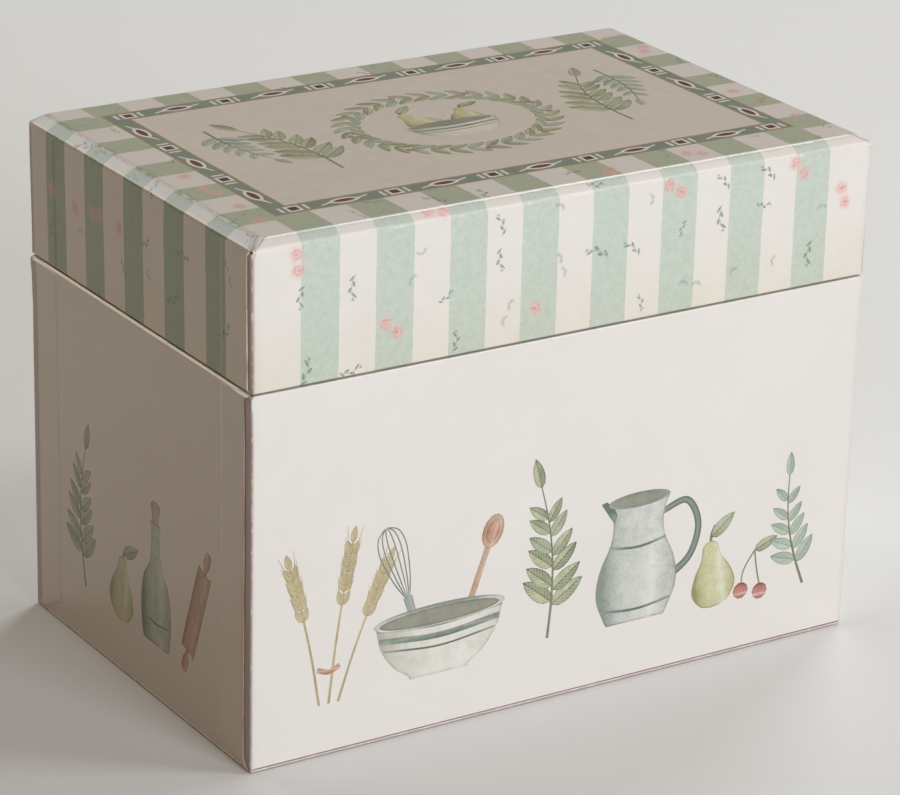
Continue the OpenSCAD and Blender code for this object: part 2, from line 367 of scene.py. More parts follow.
class Sheet:
    """Papers under construction: points in millimetres and faces, each with what is printed on
    it. Corner values are the place on the flat sheet, the place in a painted shape, how much
    colour pools there, and the wear and painted light: rubbed fold, whose whitening is also a
    painted highlight, bare paper core, and soil, which is also painted shade."""

    def __init__(self):
        self.points = []
        self.faces = []
        self.prints = []

    def add_points(self, points):
        first = len(self.points)
        self.points += [tuple(p) for p in points]
        return list(range(first, len(self.points)))

    def add_face(self, corners_of_face, flat=None, wear=None, shape=None):
        self.faces.append(list(corners_of_face))
        count = len(corners_of_face)
        self.prints.append({
            "flat": flat or [(0.0, 0.0)] * count,
            "wear": wear or [(0.0, 0.0, 0.0)] * count,
            "shape": shape})

    def made(self, name, finish, sharp_angle=32.0):
        mesh = bpy.data.meshes.new(name)
        mesh.from_pydata([[c * MM for c in p] for p in self.points], [], self.faces)
        for layer in ("flat_sheet", "stroke"):
            mesh.uv_layers.new(name=layer)
        for layer, kind, domain in (("pool", "FLOAT", "CORNER"),
                                    ("wear", "FLOAT_COLOR", "CORNER"),
                                    ("ink_light", "FLOAT_COLOR", "FACE"),
                                    ("ink_dark", "FLOAT_COLOR", "FACE"),
                                    ("brush", "FLOAT_COLOR", "FACE")):
            mesh.attributes.new(layer, kind, domain)
        flat, stroke_map = mesh.uv_layers["flat_sheet"], mesh.uv_layers["stroke"]
        pool, wear, light, dark, brush = (mesh.attributes[layer] for layer in (
            "pool", "wear", "ink_light", "ink_dark", "brush"))
        for polygon, printed in zip(mesh.polygons, self.prints):
            shape = printed["shape"]
            light.data[polygon.index].color = shape["light"] if shape else (1, 1, 1, 1)
            dark.data[polygon.index].color = shape["dark"] if shape else (1, 1, 1, 1)
            brush.data[polygon.index].color = (*shape["brush"], 1.0) if shape else (0, 0, 0, 0)
            for k, loop in enumerate(polygon.loop_indices):
                flat.data[loop].uv = [c * MM for c in printed["flat"][k]]
                wear.data[loop].color = (*printed["wear"][k], 1.0)
                if shape:
                    x, y = printed["panel"][k]
                    stroke_map.data[loop].uv = in_shape(shape, x, y)
                    pool.data[loop].value = printed["pool"][k]
        work = bmesh.new()
        work.from_mesh(mesh)
        bmesh.ops.recalc_face_normals(work, faces=work.faces)
        work.to_mesh(mesh)
        work.free()
        mesh.shade_smooth()
        mesh.set_sharp_from_angle(angle=math.radians(sharp_angle))
        mesh.materials.append(finish)
        piece = bpy.data.objects.new(name, mesh)
        bpy.context.scene.collection.objects.link(piece)
        even = piece.modifiers.new("even_shading", "WEIGHTED_NORMAL")
        even.keep_sharp = True
        return piece


def band(sheet, low, high, flat_of, rub_and_highlight_low, rub_and_highlight_high, skip=(), soils_and_shades=(soiled_and_shaded, soiled_and_shaded),
         bare_cut=1.0):
    """Faces between two rings, without the strips that a printed panel takes."""
    count = len(low)
    for i in range(count):
        if i in skip:
            continue
        j = (i + 1) % count
        face = (low[i], low[j], high[j], high[i])
        core = bare_cut if STRIPS[i] == "cut" else 0.0
        columns = (i, i + 1, i + 1, i)
        dirt_and_shade = [soil_and_shade(i, c) for soil_and_shade, c in zip((soils_and_shades[0], soils_and_shades[0], soils_and_shades[1], soils_and_shades[1]), columns)]
        rubs_and_highlights = [max(rub_and_highlight, CORNER_RUB * on_corner(c)) for rub_and_highlight, c in
                zip((rub_and_highlight_low, rub_and_highlight_low, rub_and_highlight_high, rub_and_highlight_high), columns)]
        sheet.add_face(face, [flat_of(k, i) for k in face],
                       [(rub_and_highlight, core, dark) for rub_and_highlight, dark in zip(rubs_and_highlights, dirt_and_shade)])


def along(strips, offset=0):
    """The columns that bound a run of strips, in order."""
    return [s + offset for s in strips] + [strips[-1] + 1 + offset]


def in_shape(shape, x, y):
    """A panel point as seen from a painted shape: along its length, and across it."""
    dx, dy = x - shape["at"][0], y - shape["at"][1]
    c, s = math.cos(shape["turn"]), math.sin(shape["turn"])
    return (dx * c + dy * s) / shape["length"], (dy * c - dx * s) / (shape["width"] / 2)


def gap_to(outline, spots):
    """Distance of each spot from a closed outline."""
    ends = np.roll(outline, -1, axis=0)
    runs = ends - outline
    squares = np.maximum((runs ** 2).sum(1), 1e-12)
    away = spots[:, None, :] - outline[None]
    share = np.clip((away * runs[None]).sum(2) / squares[None], 0, 1)
    return np.sqrt(((away - share[..., None] * runs[None]) ** 2).sum(2)).min(1)


def inset_loop(outline, depth):
    """The outline drawn again a little further in, where the pooled colour thins out."""
    before = np.roll(outline, 1, axis=0)
    after = np.roll(outline, -1, axis=0)
    tangent = after - before
    tangent /= np.maximum(np.linalg.norm(tangent, axis=1, keepdims=True), 1e-9)
    return outline + np.stack([-tangent[:, 1], tangent[:, 0]], 1) * depth


def printed_panel(sheet, rim, rim_spots, shapes, to_sheet, flat_of, bow):
    """Fills a flat panel with the faces of its print: each painted shape is an area of its own.
    rim and rim_spots are the panel's outer points, as indices and as places on the panel."""
    spots = [tuple(p) for p in rim_spots]
    count = len(rim)
    faces = [list(range(count))]
    edges = []
    low, high = np.min(rim_spots, axis=0), np.max(rim_spots, axis=0)
    steps = [max(2, round(s / 7)) for s in high - low]
    for i in range(1, steps[0]):
        for j in range(1, steps[1]):
            spots.append(tuple(low + (high - low) * (i / steps[0], j / steps[1])))
    for shape in shapes:
        first = len(spots)
        outline = shape["outline"]
        spots += [tuple(p) for p in outline]
        faces.append(list(range(first, first + len(outline))))
        if shape["pool"] > 0:
            inner = inset_loop(outline, shape["pool"])
            first = len(spots)
            spots += [tuple(p) for p in inner]
            edges += [(first + i, first + (i + 1) % len(inner)) for i in range(len(inner))]
    result = delaunay_2d_cdt([Vector(p) for p in spots], edges, faces, 1, 1e-4, True)
    made_spots, made_faces, from_spots, from_faces = result[0], result[2], result[3], result[5]
    made_at = np.array([tuple(p) for p in made_spots])
    index = {}
    for new, olds in enumerate(from_spots):
        on_rim = [k for k in olds if k < count]
        if on_rim:
            index[new] = rim[on_rim[0]]
    pooled = {}
    for face, sources in zip(made_faces, from_faces):
        if not sources:
            continue
        top = max(sources) - 1
        shape = shapes[top] if top >= 0 else None
        for k in face:
            if k not in index:
                x, y = made_at[k]
                index[k] = sheet.add_points([to_sheet(x, y, bow(x, y))])[0]
        places = [tuple(made_at[k]) for k in face]
        sheet.add_face([index[k] for k in face], [flat_of(x, y) for x, y in places], shape=shape)
        printed = sheet.prints[-1]
        printed["panel"] = places
        printed["pool"] = [0.0] * len(face)
        if shape:
            if top not in pooled:
                pooled[top] = {}
            for n, k in enumerate(face):
                pooled[top].setdefault(k, []).append((printed, n))
    for top, uses in pooled.items():
        depth = shapes[top]["pool"]
        keys = list(uses)
        gaps = gap_to(shapes[top]["outline"], made_at[keys])
        for k, gap in zip(keys, gaps):
            amount = max(0.0, 1 - gap / depth) if depth > 0 else 0.6
            for printed, n in uses[k]:
                printed["pool"][n] = amount


# Inks of the painted shapes: thin wash, pooled colour, and how strongly veins, streaks and a
# highlight are brushed in
INKS = {
    "leaf": ("d3d2b2", "59664a", (1.0, 0.7, 0.0)),
    "sage": ("cdd6c6", "687a6c", (0.9, 0.7, 0.0)),
    "stem": ("9c997c", "5a593f", (0.0, 0.8, 0.0)),
    "wood": ("d3b59a", "946b50", (0.0, 1.0, 0.5)),
    "wheat": ("d6c8a2", "9a8358", (0.5, 0.8, 0.0)),
    "enamel": ("dfe0d8", "8b9289", (0.0, 0.8, 1.0)),
    "enamel_dark": ("a0aaa0", "68746a", (0.0, 0.6, 0.5)),
    "inside": ("a19f90", "6f6c5e", (0.0, 0.6, 0.0)),
    "clay": ("d6a791", "a06d5a", (0.0, 0.8, 0.8)),
    "pear": ("dcd8b0", "94935f", (0.0, 0.8, 1.0)),
    "berry": ("cc8f84", "8a4a47", (0.0, 0.6, 1.0)),
    "steel": ("b5b9b3", "7b807b", (0.0, 0.6, 0.5)),
    "cream": ("eee9e0", "b9b3a4", (0.0, 0.5, 0.8)),
}


def leftward(outline):
    """The outline in the order that keeps its area on the left."""
    after = np.roll(outline, -1, axis=0)
    area = (outline[:, 0] * after[:, 1] - after[:, 0] * outline[:, 1]).sum()
    return outline if area > 0 else outline[::-1]


def painted(picture, outline, ink, at, turn, length, width, pool=0.4):
    """Adds one painted shape to a picture, drawn along its own axis and then put in place."""
    light, dark, brush = INKS[ink]
    c, s = math.cos(turn), math.sin(turn)
    points = np.array(outline, float)
    turned = np.stack([at[0] + points[:, 0] * c - points[:, 1] * s,
                       at[1] + points[:, 0] * s + points[:, 1] * c], 1)
    picture.append({"outline": leftward(turned), "at": at, "turn": turn, "length": length, "width": width,
                    "light": rgb(light), "dark": rgb(dark), "brush": brush, "pool": pool})


def smooth_line(points, steps=5):
    """A curve through given points."""
    points = np.array(points, float)
    ends = np.vstack([2 * points[0] - points[1], points, 2 * points[-1] - points[-2]])
    line = []
    for a, b, c, d in zip(ends, ends[1:], ends[2:], ends[3:]):
        for i in range(steps):
            t = i / steps
            line.append(0.5 * (2 * b + (c - a) * t + (2 * a - 5 * b + 4 * c - d) * t * t
                               + (3 * b - a - 3 * c + d) * t ** 3))
    return np.array(line + [points[-1]])


def leaf(picture, at, turn, length, width, ink="leaf", steps=9):
    shares = [i / steps for i in range(1, steps)]
    half = [width * 0.5 * (t / 0.42) ** 0.62 * ((1 - t) / 0.58) ** 0.86 for t in shares]
    upper = [(length * t, h) for t, h in zip(shares, half)]
    lower = [(x, -h) for x, h in reversed(upper)]
    painted(picture, [(0, 0), *upper, (length, 0), *lower][::-1], ink, at, turn, length, width,
            pool=min(0.45, width * 0.16))


def stroke(picture, points, start, end, ink="stem", steps=5):
    """A brush stroke along a curve, from one width to another."""
    line = smooth_line(points, steps)
    tangent = np.gradient(line, axis=0)
    tangent /= np.maximum(np.linalg.norm(tangent, axis=1, keepdims=True), 1e-9)
    across = np.stack([-tangent[:, 1], tangent[:, 0]], 1)
    half = np.linspace(start, end, len(line))[:, None] / 2
    outline = np.vstack([line + across * half, (line - across * half)[::-1]])
    run = line[-1] - line[0]
    painted(picture, outline - line[0], ink, (0, 0), 0.0, 1.0, 1.0, pool=0.0)
    picture[-1]["outline"] = leftward(outline)
    picture[-1]["at"] = tuple(line[0])
    picture[-1]["turn"] = math.atan2(run[1], run[0])
    picture[-1]["length"] = max(1e-3, float(np.linalg.norm(run)))
    picture[-1]["width"] = 2 * max(start, end)
    return line


def turned_form(picture, at, turn, profile, ink, pool=0.5, cap=True):
    """A pot, fruit or handle: a profile of heights and half widths, mirrored about its axis."""
    side = smooth_line(profile, 5)
    outline = np.vstack([side, (side * (1, -1))[::-1]])
    length = max(side[:, 0]) - min(side[:, 0])
    painted(picture, outline, ink, at, turn, length, 2 * max(side[:, 1]), pool)


def oval(picture, at, turn, length, width, ink, pool=0.4):
    count = max(10, round(length * 2))
    around = [2 * math.pi * i / count for i in range(count)]
    painted(picture, [(length / 2 * math.cos(a), width / 2 * math.sin(a)) for a in around], ink,
            at, turn, length / 2, width, pool)


UP = math.pi / 2


def sprig(picture, foot, turn, length, pairs, bend=0.12, ink="leaf", size=1.0):
    """A stem with pairs of leaflets that shrink towards the tip."""
    c, s = math.cos(turn), math.sin(turn)

    def on_axis(run, off):
        return foot[0] + run * c - off * s, foot[1] + run * s + off * c

    stem = [on_axis(length * t, bend * length * math.sin(math.pi * t * 0.9)) for t in
            (0, 0.25, 0.5, 0.75, 1)]
    line = smooth_line(stem, 8)
    for i in range(pairs):
        t = 0.22 + 0.68 * i / pairs
        k = round(t * (len(line) - 2))
        run = line[k + 1] - line[k]
        heading = math.atan2(run[1], run[0])
        leaf_length = size * length * (0.26 - 0.11 * i / pairs)
        for side in (-1, 1):
            spread = side * (0.95 - 0.25 * i / pairs)
            leaf(picture, tuple(line[k] + run * (0.4 * side)), heading + spread, leaf_length,
                 leaf_length * 0.42, ink, 7)
    stroke(picture, stem, 0.75, 0.3, "stem", 8)
    run = line[-1] - line[-2]
    leaf(picture, tuple(line[-2]), math.atan2(run[1], run[0]), size * length * 0.2,
         size * length * 0.08, ink, 7)


def wheat(picture, foot, turn, length, bend=0.08):
    """An ear of wheat: paired grains up a stalk, with fine awns."""
    c, s = math.cos(turn), math.sin(turn)

    def on_axis(run, off):
        return foot[0] + run * c - off * s, foot[1] + run * s + off * c

    stalk = [on_axis(length * t, bend * length * t * t) for t in (0, 0.35, 0.7, 1)]
    line = smooth_line(stalk, 8)
    stroke(picture, stalk, 0.7, 0.45, "wheat", 8)
    grains = 6
    for i in range(grains):
        t = 0.58 + 0.4 * i / grains
        k = min(len(line) - 2, round(t * (len(line) - 1)))
        run = line[k + 1] - line[k]
        heading = math.atan2(run[1], run[0])
        for side in (-1, 1):
            tilt = heading + side * 0.42
            tip = line[k] + 3.2 * np.array([math.cos(tilt), math.sin(tilt)])
            awn = tip + 4.2 * np.array([math.cos(heading + side * 0.2),
                                        math.sin(heading + side * 0.2)])
            stroke(picture, [tuple(tip), tuple((tip + awn) / 2 + (0.05, 0)), tuple(awn)], 0.28, 0.1,
                   "wheat", 2)
            leaf(picture, tuple(line[k]), tilt, 3.9, 1.9, "wheat", 6)
    run = line[-1] - line[-2]
    leaf(picture, tuple(line[-1]), math.atan2(run[1], run[0]), 4.2, 1.9, "wheat", 6)


def spoon(picture, foot, turn, length):
    """A wooden spoon, drawn bowl upwards."""
    bowl_length = length * 0.26
    turned_form(picture, foot, turn, [(0, 0.75), (length * 0.35, 0.85), (length * 0.7, 0.8),
                                      (length * 0.78, 1.3)], "wood", 0.25)
    c, s = math.cos(turn), math.sin(turn)
    head = (foot[0] + length * 0.86 * c, foot[1] + length * 0.86 * s)
    oval(picture, head, turn, bowl_length, bowl_length * 0.66, "wood", 0.45)
    oval(picture, head, turn, bowl_length * 0.68, bowl_length * 0.4, "clay", 0.4)


def whisk(picture, foot, turn, length):
    """A balloon whisk: a turned handle and six wires."""
    c, s = math.cos(turn), math.sin(turn)

    def on_axis(run, off):
        return foot[0] + run * c - off * s, foot[1] + run * s + off * c

    grip = length * 0.42
    for spread in (-3.6, -2.2, -0.8, 0.8, 2.2, 3.6):
        wire_points = [on_axis(grip, spread * 0.16), on_axis(grip + 5, spread * 0.62),
                       on_axis(length * 0.8, spread), on_axis(length * 0.94, spread * 0.8),
                       on_axis(length, spread * 0.12)]
        stroke(picture, wire_points, 0.34, 0.3, "steel", 5)
    turned_form(picture, foot, turn, [(0, 0.9), (1.5, 1.25), (grip * 0.5, 1.0), (grip, 1.2)],
                "steel", 0.3)


def jug(picture, foot, scale=1.0):
    """An enamel jug with a strap handle, a lip and a dark rim."""
    x, y = foot
    k = scale
    handle = [(x + 6 * k, y + 24 * k), (x + 12.4 * k, y + 25.4 * k), (x + 15.6 * k, y + 19.4 * k),
              (x + 13.8 * k, y + 12.5 * k), (x + 8.6 * k, y + 8.5 * k)]
    stroke(picture, handle, 1.5 * k, 1.9 * k, "enamel_dark", 6)
    stroke(picture, handle, 0.7 * k, 0.9 * k, "enamel", 6)
    body = [(0, 7.4), (1.5, 8.2), (7, 10.3), (13, 9.6), (19, 6.9), (24, 6.5), (28, 7.9)]
    turned_form(picture, foot, UP, [(h * k, w * k) for h, w in body], "enamel", 0.8)
    painted(picture, [(0, 0), (-1.6, 2.2), (-3.9, 5.6), (-2.4, 6.0), (-0.4, 4.4), (0.8, 2.0)],
            "enamel_dark", (x - 6.2 * k, y + 23.6 * k), 0.0, 6.0, 6.0, 0.6)
    oval(picture, (x, y + 28 * k), 0.0, 15.8 * k, 3.4 * k, "enamel_dark", 0.3)
    oval(picture, (x, y + 27.9 * k), 0.0, 13.8 * k, 2.3 * k, "inside", 0.3)
    for height, half in ((3.2, 8.8), (17.6, 7.3)):
        stroke(picture, [(x - half * k, y + (height + 0.5) * k), (x, y + (height - 0.5) * k),
                         (x + half * k, y + (height + 0.5) * k)], 0.6 * k, 0.6 * k,
               "enamel_dark", 6)


def pear(picture, foot, turn=UP, scale=1.0):
    """A pear with its stalk and a leaf."""
    k = scale
    body = [(0, 1.2), (1.2, 4.2), (5, 6.4), (9.5, 5.2), (13, 3.1), (16.5, 2.2), (17.6, 0.9)]
    c, s = math.cos(turn), math.sin(turn)

    def on_axis(run, off):
        return foot[0] + (run * c - off * s) * k, foot[1] + (run * s + off * c) * k

    stroke(picture, [on_axis(17, 0), on_axis(19.5, -0.5), on_axis(21.5, -1.6)], 0.9 * k, 0.6 * k,
           "stem", 4)
    leaf(picture, on_axis(18.6, -0.4), turn - 1.0, 8.5 * k, 3.6 * k, "leaf", 8)
    turned_form(picture, foot, turn, [(h * k, w * k) for h, w in body], "pear", 0.7 * k)


def cherries(picture, at, scale=1.0):
    x, y = at
    k = scale
    top = (x + 1.5 * k, y + 11 * k)
    for dx, dy in ((-2.6, 0), (3.8, -1.4)):
        stroke(picture, [(x + dx * k, y + (dy + 1.6) * k), (x + dx * 0.7 * k, y + (dy + 6) * k),
                         top], 0.45 * k, 0.5 * k, "stem", 5)
    leaf(picture, top, 0.35, 8 * k, 3.4 * k, "leaf", 8)
    for dx, dy in ((-2.6, 0), (3.8, -1.4)):
        oval(picture, (x + dx * k, y + dy * k), 0.0, 5.0 * k, 4.8 * k, "berry", 0.6 * k)


def mixing_bowl(picture, foot, scale=1.0):
    x, y = foot
    k = scale
    body = [(0, 8.0), (1.0, 8.4), (4, 12.4), (9, 15.8), (15, 17.3)]
    turned_form(picture, foot, UP, [(h * k, w * k) for h, w in body], "cream", 0.8)
    for height, half, width in ((10.6, 16.3, 1.5), (7.9, 15.0, 0.5), (13.2, 16.9, 0.5)):
        stroke(picture, [(x - half * k, y + (height + 0.6) * k), (x, y + (height - 0.9) * k),
                         (x + half * k, y + (height + 0.6) * k)], width * k, width * k,
               "enamel_dark", 8)
    oval(picture, (x, y + 15 * k), 0.0, 35.4 * k, 5.6 * k, "enamel", 0.4)
    oval(picture, (x, y + 14.8 * k), 0.0, 32.4 * k, 4.2 * k, "inside", 0.8)


def rolling_pin(picture, middle, turn, length):
    c, s = math.cos(turn), math.sin(turn)
    start = (middle[0] - length / 2 * c, middle[1] - length / 2 * s)
    knob = [(0, 0.6), (0.8, 1.25), (3.4, 1.35), (5.2, 0.8), (6.2, 0.8)]
    turned_form(picture, start, turn, knob, "clay", 0.35)
    far = (middle[0] + length / 2 * c, middle[1] + length / 2 * s)
    turned_form(picture, far, turn + math.pi, knob, "clay", 0.35)
    barrel = length - 12.0
    inner = (middle[0] - barrel / 2 * c, middle[1] - barrel / 2 * s)
    turned_form(picture, inner, turn, [(0, 2.3), (0.5, 3.0), (barrel / 2, 3.1),
                                       (barrel - 0.5, 3.0), (barrel, 2.3)], "wood", 0.6)


def cruet(picture, foot, scale=1.0):
    """A slim oil cruet with a stopper."""
    k = scale
    body = [(0, 5.4), (1, 6.2), (8, 7.0), (15, 5.8), (20, 2.6), (27, 1.9), (29.5, 2.5)]
    turned_form(picture, foot, UP, [(h * k, w * k) for h, w in body], "sage", 0.7)
    picture[-1]["brush"] = (0.0, 0.5, 1.0)
    turned_form(picture, (foot[0], foot[1] + 29 * k), UP,
                [(0, 1.4 * k), (2 * k, 1.5 * k), (4.5 * k, 2.1 * k), (5.6 * k, 1.0 * k)],
                "wood", 0.35)
    stroke(picture, [(foot[0] - 6.4 * k, foot[1] + 6 * k), (foot[0], foot[1] + 5.2 * k),
                     (foot[0] + 6.4 * k, foot[1] + 6 * k)], 0.5 * k, 0.5 * k, "enamel_dark", 6)


def front_picture():
    """What a long wall of the base shows, in millimetres from the wall's middle and the rest."""
    picture = []
    wheat(picture, (-66, 13), UP + 0.14, 36)
    wheat(picture, (-63.5, 13), UP - 0.1, 39, -0.05)
    wheat(picture, (-61, 13), UP - 0.3, 34, -0.08)
    stroke(picture, [(-66.6, 22), (-63.6, 21), (-60.6, 22)], 1.3, 1.3, "clay", 5)
    whisk(picture, (-38.5, 22), UP + 0.32, 33)
    spoon(picture, (-29.5, 20), UP - 0.34, 33)
    mixing_bowl(picture, (-34, 14), 1.0)
    sprig(picture, (-4, 16), UP + 0.1, 40, 6, -0.07, "leaf")
    jug(picture, (21, 15), 1.12)
    pear(picture, (44.5, 13.5), UP + 0.12, 1.0)
    cherries(picture, (54.5, 16), 0.9)
    sprig(picture, (71, 14), UP + 0.16, 31, 5, 0.08, "sage")
    return picture


def end_picture():
    """What an end wall of the base shows, from the wall's middle."""
    picture = []
    sprig(picture, (-27, 15), UP - 0.05, 37, 6, 0.09, "leaf")
    pear(picture, (-9, 13.5), UP - 0.1, 0.95)
    cruet(picture, (9, 14), 1.05)
    rolling_pin(picture, (28.5, 30), UP - 0.35, 36)
    return picture


def laminate_group():
    """The film-laminated print's own surface, used by both wraps: a rubbed fold shows paper, and
    the same whitening is a painted highlight along creases and the base's rim; soil darkens the
    paper, and the same darkening is painted shade in creases, recesses and by corners and cut
    edges; the sheet has a faint mottle, and the film a fine orange peel."""
    group = bpy.data.node_groups.new("laminated_print", "ShaderNodeTree")
    group.interface.new_socket("Ink", in_out="INPUT", socket_type="NodeSocketColor")
    group.interface.new_socket("Place", in_out="INPUT", socket_type="NodeSocketVector")
    group.interface.new_socket("Wear_and_painted_light", in_out="INPUT", socket_type="NodeSocketColor")
    group.interface.new_socket("Colour", in_out="OUTPUT", socket_type="NodeSocketColor")
    group.interface.new_socket("Roughness", in_out="OUTPUT", socket_type="NodeSocketFloat")
    group.interface.new_socket("Normal", in_out="OUTPUT", socket_type="NodeSocketVector")
    given = group.nodes.new("NodeGroupInput")
    result = group.nodes.new("NodeGroupOutput")
    ink, at = out(group, given, "Ink"), out(group, given, "Place")
    wear = place(group, "SeparateColor", {"Color": out(group, given, "Wear_and_painted_light")})
    rub_and_highlight, core, soil_and_shade = (out(group, wear, part) for part in ("Red", "Green", "Blue"))
    stock = clouds(group, at, 14.0, 4.0)
    fine = clouds(group, at, 0.5, 2.0)
    shade = stock * 0.05 + fine * 0.03 + 0.955
    toned = place(group, "Mix", data_type="RGBA", blend_type="MULTIPLY")
    toned.inputs["Factor"].default_value = 1.0
    wire(group, ink, toned.inputs[6])
    grey = place(group, "CombineColor", {"Red": shade, "Green": shade, "Blue": shade * 0.997})
    wire(group, out(group, grey, "Color"), toned.inputs[7])
    colour = Signal(group, toned.outputs[2])
    rubbed_and_highlit = (clouds(group, at, 2.4, 5.0) * rub_and_highlight).below(0.50, 0.07) * -1.0 + 1.0
    streaks = clouds(group, at, 1.4, 4.0, (1, 1, 0.15))
    # Soil, which is also painted shade where the same value darkens creases and corners.
    colour = tinted(group, soil_and_shade * (streaks * 0.5 + 0.6), colour, rgb("946a5c"))
    # Values above 1 are painted shadow: the pleat's hole, the groove above the foot and the line beside
    # the cut edge.
    colour = tinted(group, soil_and_shade - 1.0, colour, rgb("3f2c24"))
    # Rubbed folds show paler paper, and along creases and the rim the same whitening is a painted
    # highlight.
    colour = tinted(group, rubbed_and_highlit * 0.75, colour, rgb("f4efe6"))
    shown = core * clouds(group, at, 16.0, 2.0, (0.3, 0.3, 1)).below(0.56, 0.16)
    colour = tinted(group, shown, colour, rgb("fff0e4"))
    wire(group, colour, result.inputs["Colour"])
    rough = clouds(group, at, 6.0, 3.0) * 0.07 + rubbed_and_highlit * 0.1 + core * 0.5 + 0.265
    wire(group, rough, result.inputs["Roughness"])
    peel = clouds(group, at, 0.9, 2.0) * 0.6 + fine * 0.25 + clouds(group, at, 9.0, 2.0)
    bump = place(group, "Bump", {"Height": peel, "Strength": 0.25, "Distance": 0.00006})
    wire(group, out(group, bump, "Normal"), result.inputs["Normal"])
    return group


LAMINATE = laminate_group()


def paint_group():
    """The painted shapes' colour, used by both wraps: a thin wash that darkens where it pools,
    veins along a leaf, streaks along the brush and a highlight on round things."""
    group = bpy.data.node_groups.new("painted_shapes", "ShaderNodeTree")
    for name, kind in (("Paper", "Color"), ("Light", "Color"), ("Dark", "Color"),
                       ("Brush", "Color"), ("Shown", "Float"), ("Stroke", "Vector"),
                       ("Pool", "Float"), ("Place", "Vector")):
        group.interface.new_socket(name, in_out="INPUT", socket_type="NodeSocket" + kind)
    group.interface.new_socket("Colour", in_out="OUTPUT", socket_type="NodeSocketColor")
    given = group.nodes.new("NodeGroupInput")
    result = group.nodes.new("NodeGroupOutput")
    at, pool = out(group, given, "Place"), out(group, given, "Pool")
    brush = place(group, "SeparateColor", {"Color": out(group, given, "Brush")})
    veins, streaks = out(group, brush, "Red"), out(group, brush, "Green")
    shine = out(group, brush, "Blue")
    split = place(group, "SeparateXYZ", {"Vector": out(group, given, "Stroke")})
    run, across = out(group, split, "X"), out(group, split, "Y")
    side = across.through("ABSOLUTE")
    wash = clouds(group, at, 3.5, 5.0)
    patch = clouds(group, at, 7.0, 2.0)
    pencil = clouds(group, at, 0.3, 2.0, (1, 1, 0.45))
    rib = side.below(0.06, 0.06)
    lines = (run * 9.0 - side * 2.2).wrapped(1.0).below(0.12, 0.14) * side.below(0.9, 0.12)
    half_shade = across.below(0.0, 0.3) * patch.below(0.55, 0.2)
    leafy = rib * 0.55 + lines * (wash * 0.7) + half_shade * 0.35
    round_side = (across + 0.2).through("ABSOLUTE")
    turned = round_side * round_side * round_side * 0.75
    glint = (across + 0.38).through("ABSOLUTE").below(0.12, 0.2) * wash.below(0.6, 0.2)
    edge = pool * pool * (wash * 0.9 + 0.15)
    tone = (wash - 0.5) * 0.9 + (pencil - 0.5) * streaks * 0.9 + edge + veins * leafy
    tone = (tone + shine * turned + 0.22).through("MULTIPLY", 1.0, clamp=True)
    colour = tinted(group, tone, out(group, given, "Light"), out(group, given, "Dark"))
    colour = tinted(group, (patch - 0.45) * veins * 1.1, colour, rgb("b9c8bd"))
    colour = tinted(group, glint * shine * 0.5, colour, rgb("f3f0e8"))
    colour = tinted(group, out(group, given, "Shown"), out(group, given, "Paper"), colour)
    wire(group, colour, result.inputs["Colour"])
    return group


PAINT = paint_group()


def attribute(tree, name, output):
    return out(tree, place(tree, "Attribute", attribute_name=name), output)


def grouped(tree, group, inputs):
    """Places a node group and feeds its named inputs."""
    node = tree.nodes.new("ShaderNodeGroup")
    node.node_tree = group
    for name, value in inputs.items():
        wire(tree, value, node.inputs[name])
    return node


def painted_over(tree, at, ground):
    """The ground colour with the painted shapes of the print over it."""
    stroke_map = place(tree, "UVMap", uv_map="stroke")
    return out(tree, grouped(tree, PAINT, {
        "Paper": ground, "Light": attribute(tree, "ink_light", "Color"),
        "Dark": attribute(tree, "ink_dark", "Color"), "Brush": attribute(tree, "brush", "Color"),
        "Shown": attribute(tree, "brush", "Alpha"), "Stroke": out(tree, stroke_map, "UV"),
        "Pool": attribute(tree, "pool", "Fac"), "Place": at}), "Colour")


def laminated(tree, at, ink, shader):
    """Finishes a print with its film: wires colour, roughness and normal."""
    film = grouped(tree, LAMINATE, {"Ink": ink, "Place": at,
                                    "Wear_and_painted_light": attribute(tree, "wear", "Color")})
    wire(tree, out(tree, film, "Colour"), shader.inputs["Base Color"])
    wire(tree, out(tree, film, "Roughness"), shader.inputs["Roughness"])
    wire(tree, out(tree, film, "Normal"), shader.inputs["Normal"])


PAPER_CREAM = "eee8e3"


def base_print():
    material, tree, at, shader = surface("base_print", **{"Coat Weight": 0.12,
                                                          "Coat Roughness": 0.2})
    drift = clouds(tree, at, 45.0, 3.0)
    cream = tinted(tree, drift, rgb(PAPER_CREAM), rgb("e8e1da"))
    laminated(tree, at, painted_over(tree, at, cream), shader)
    return material


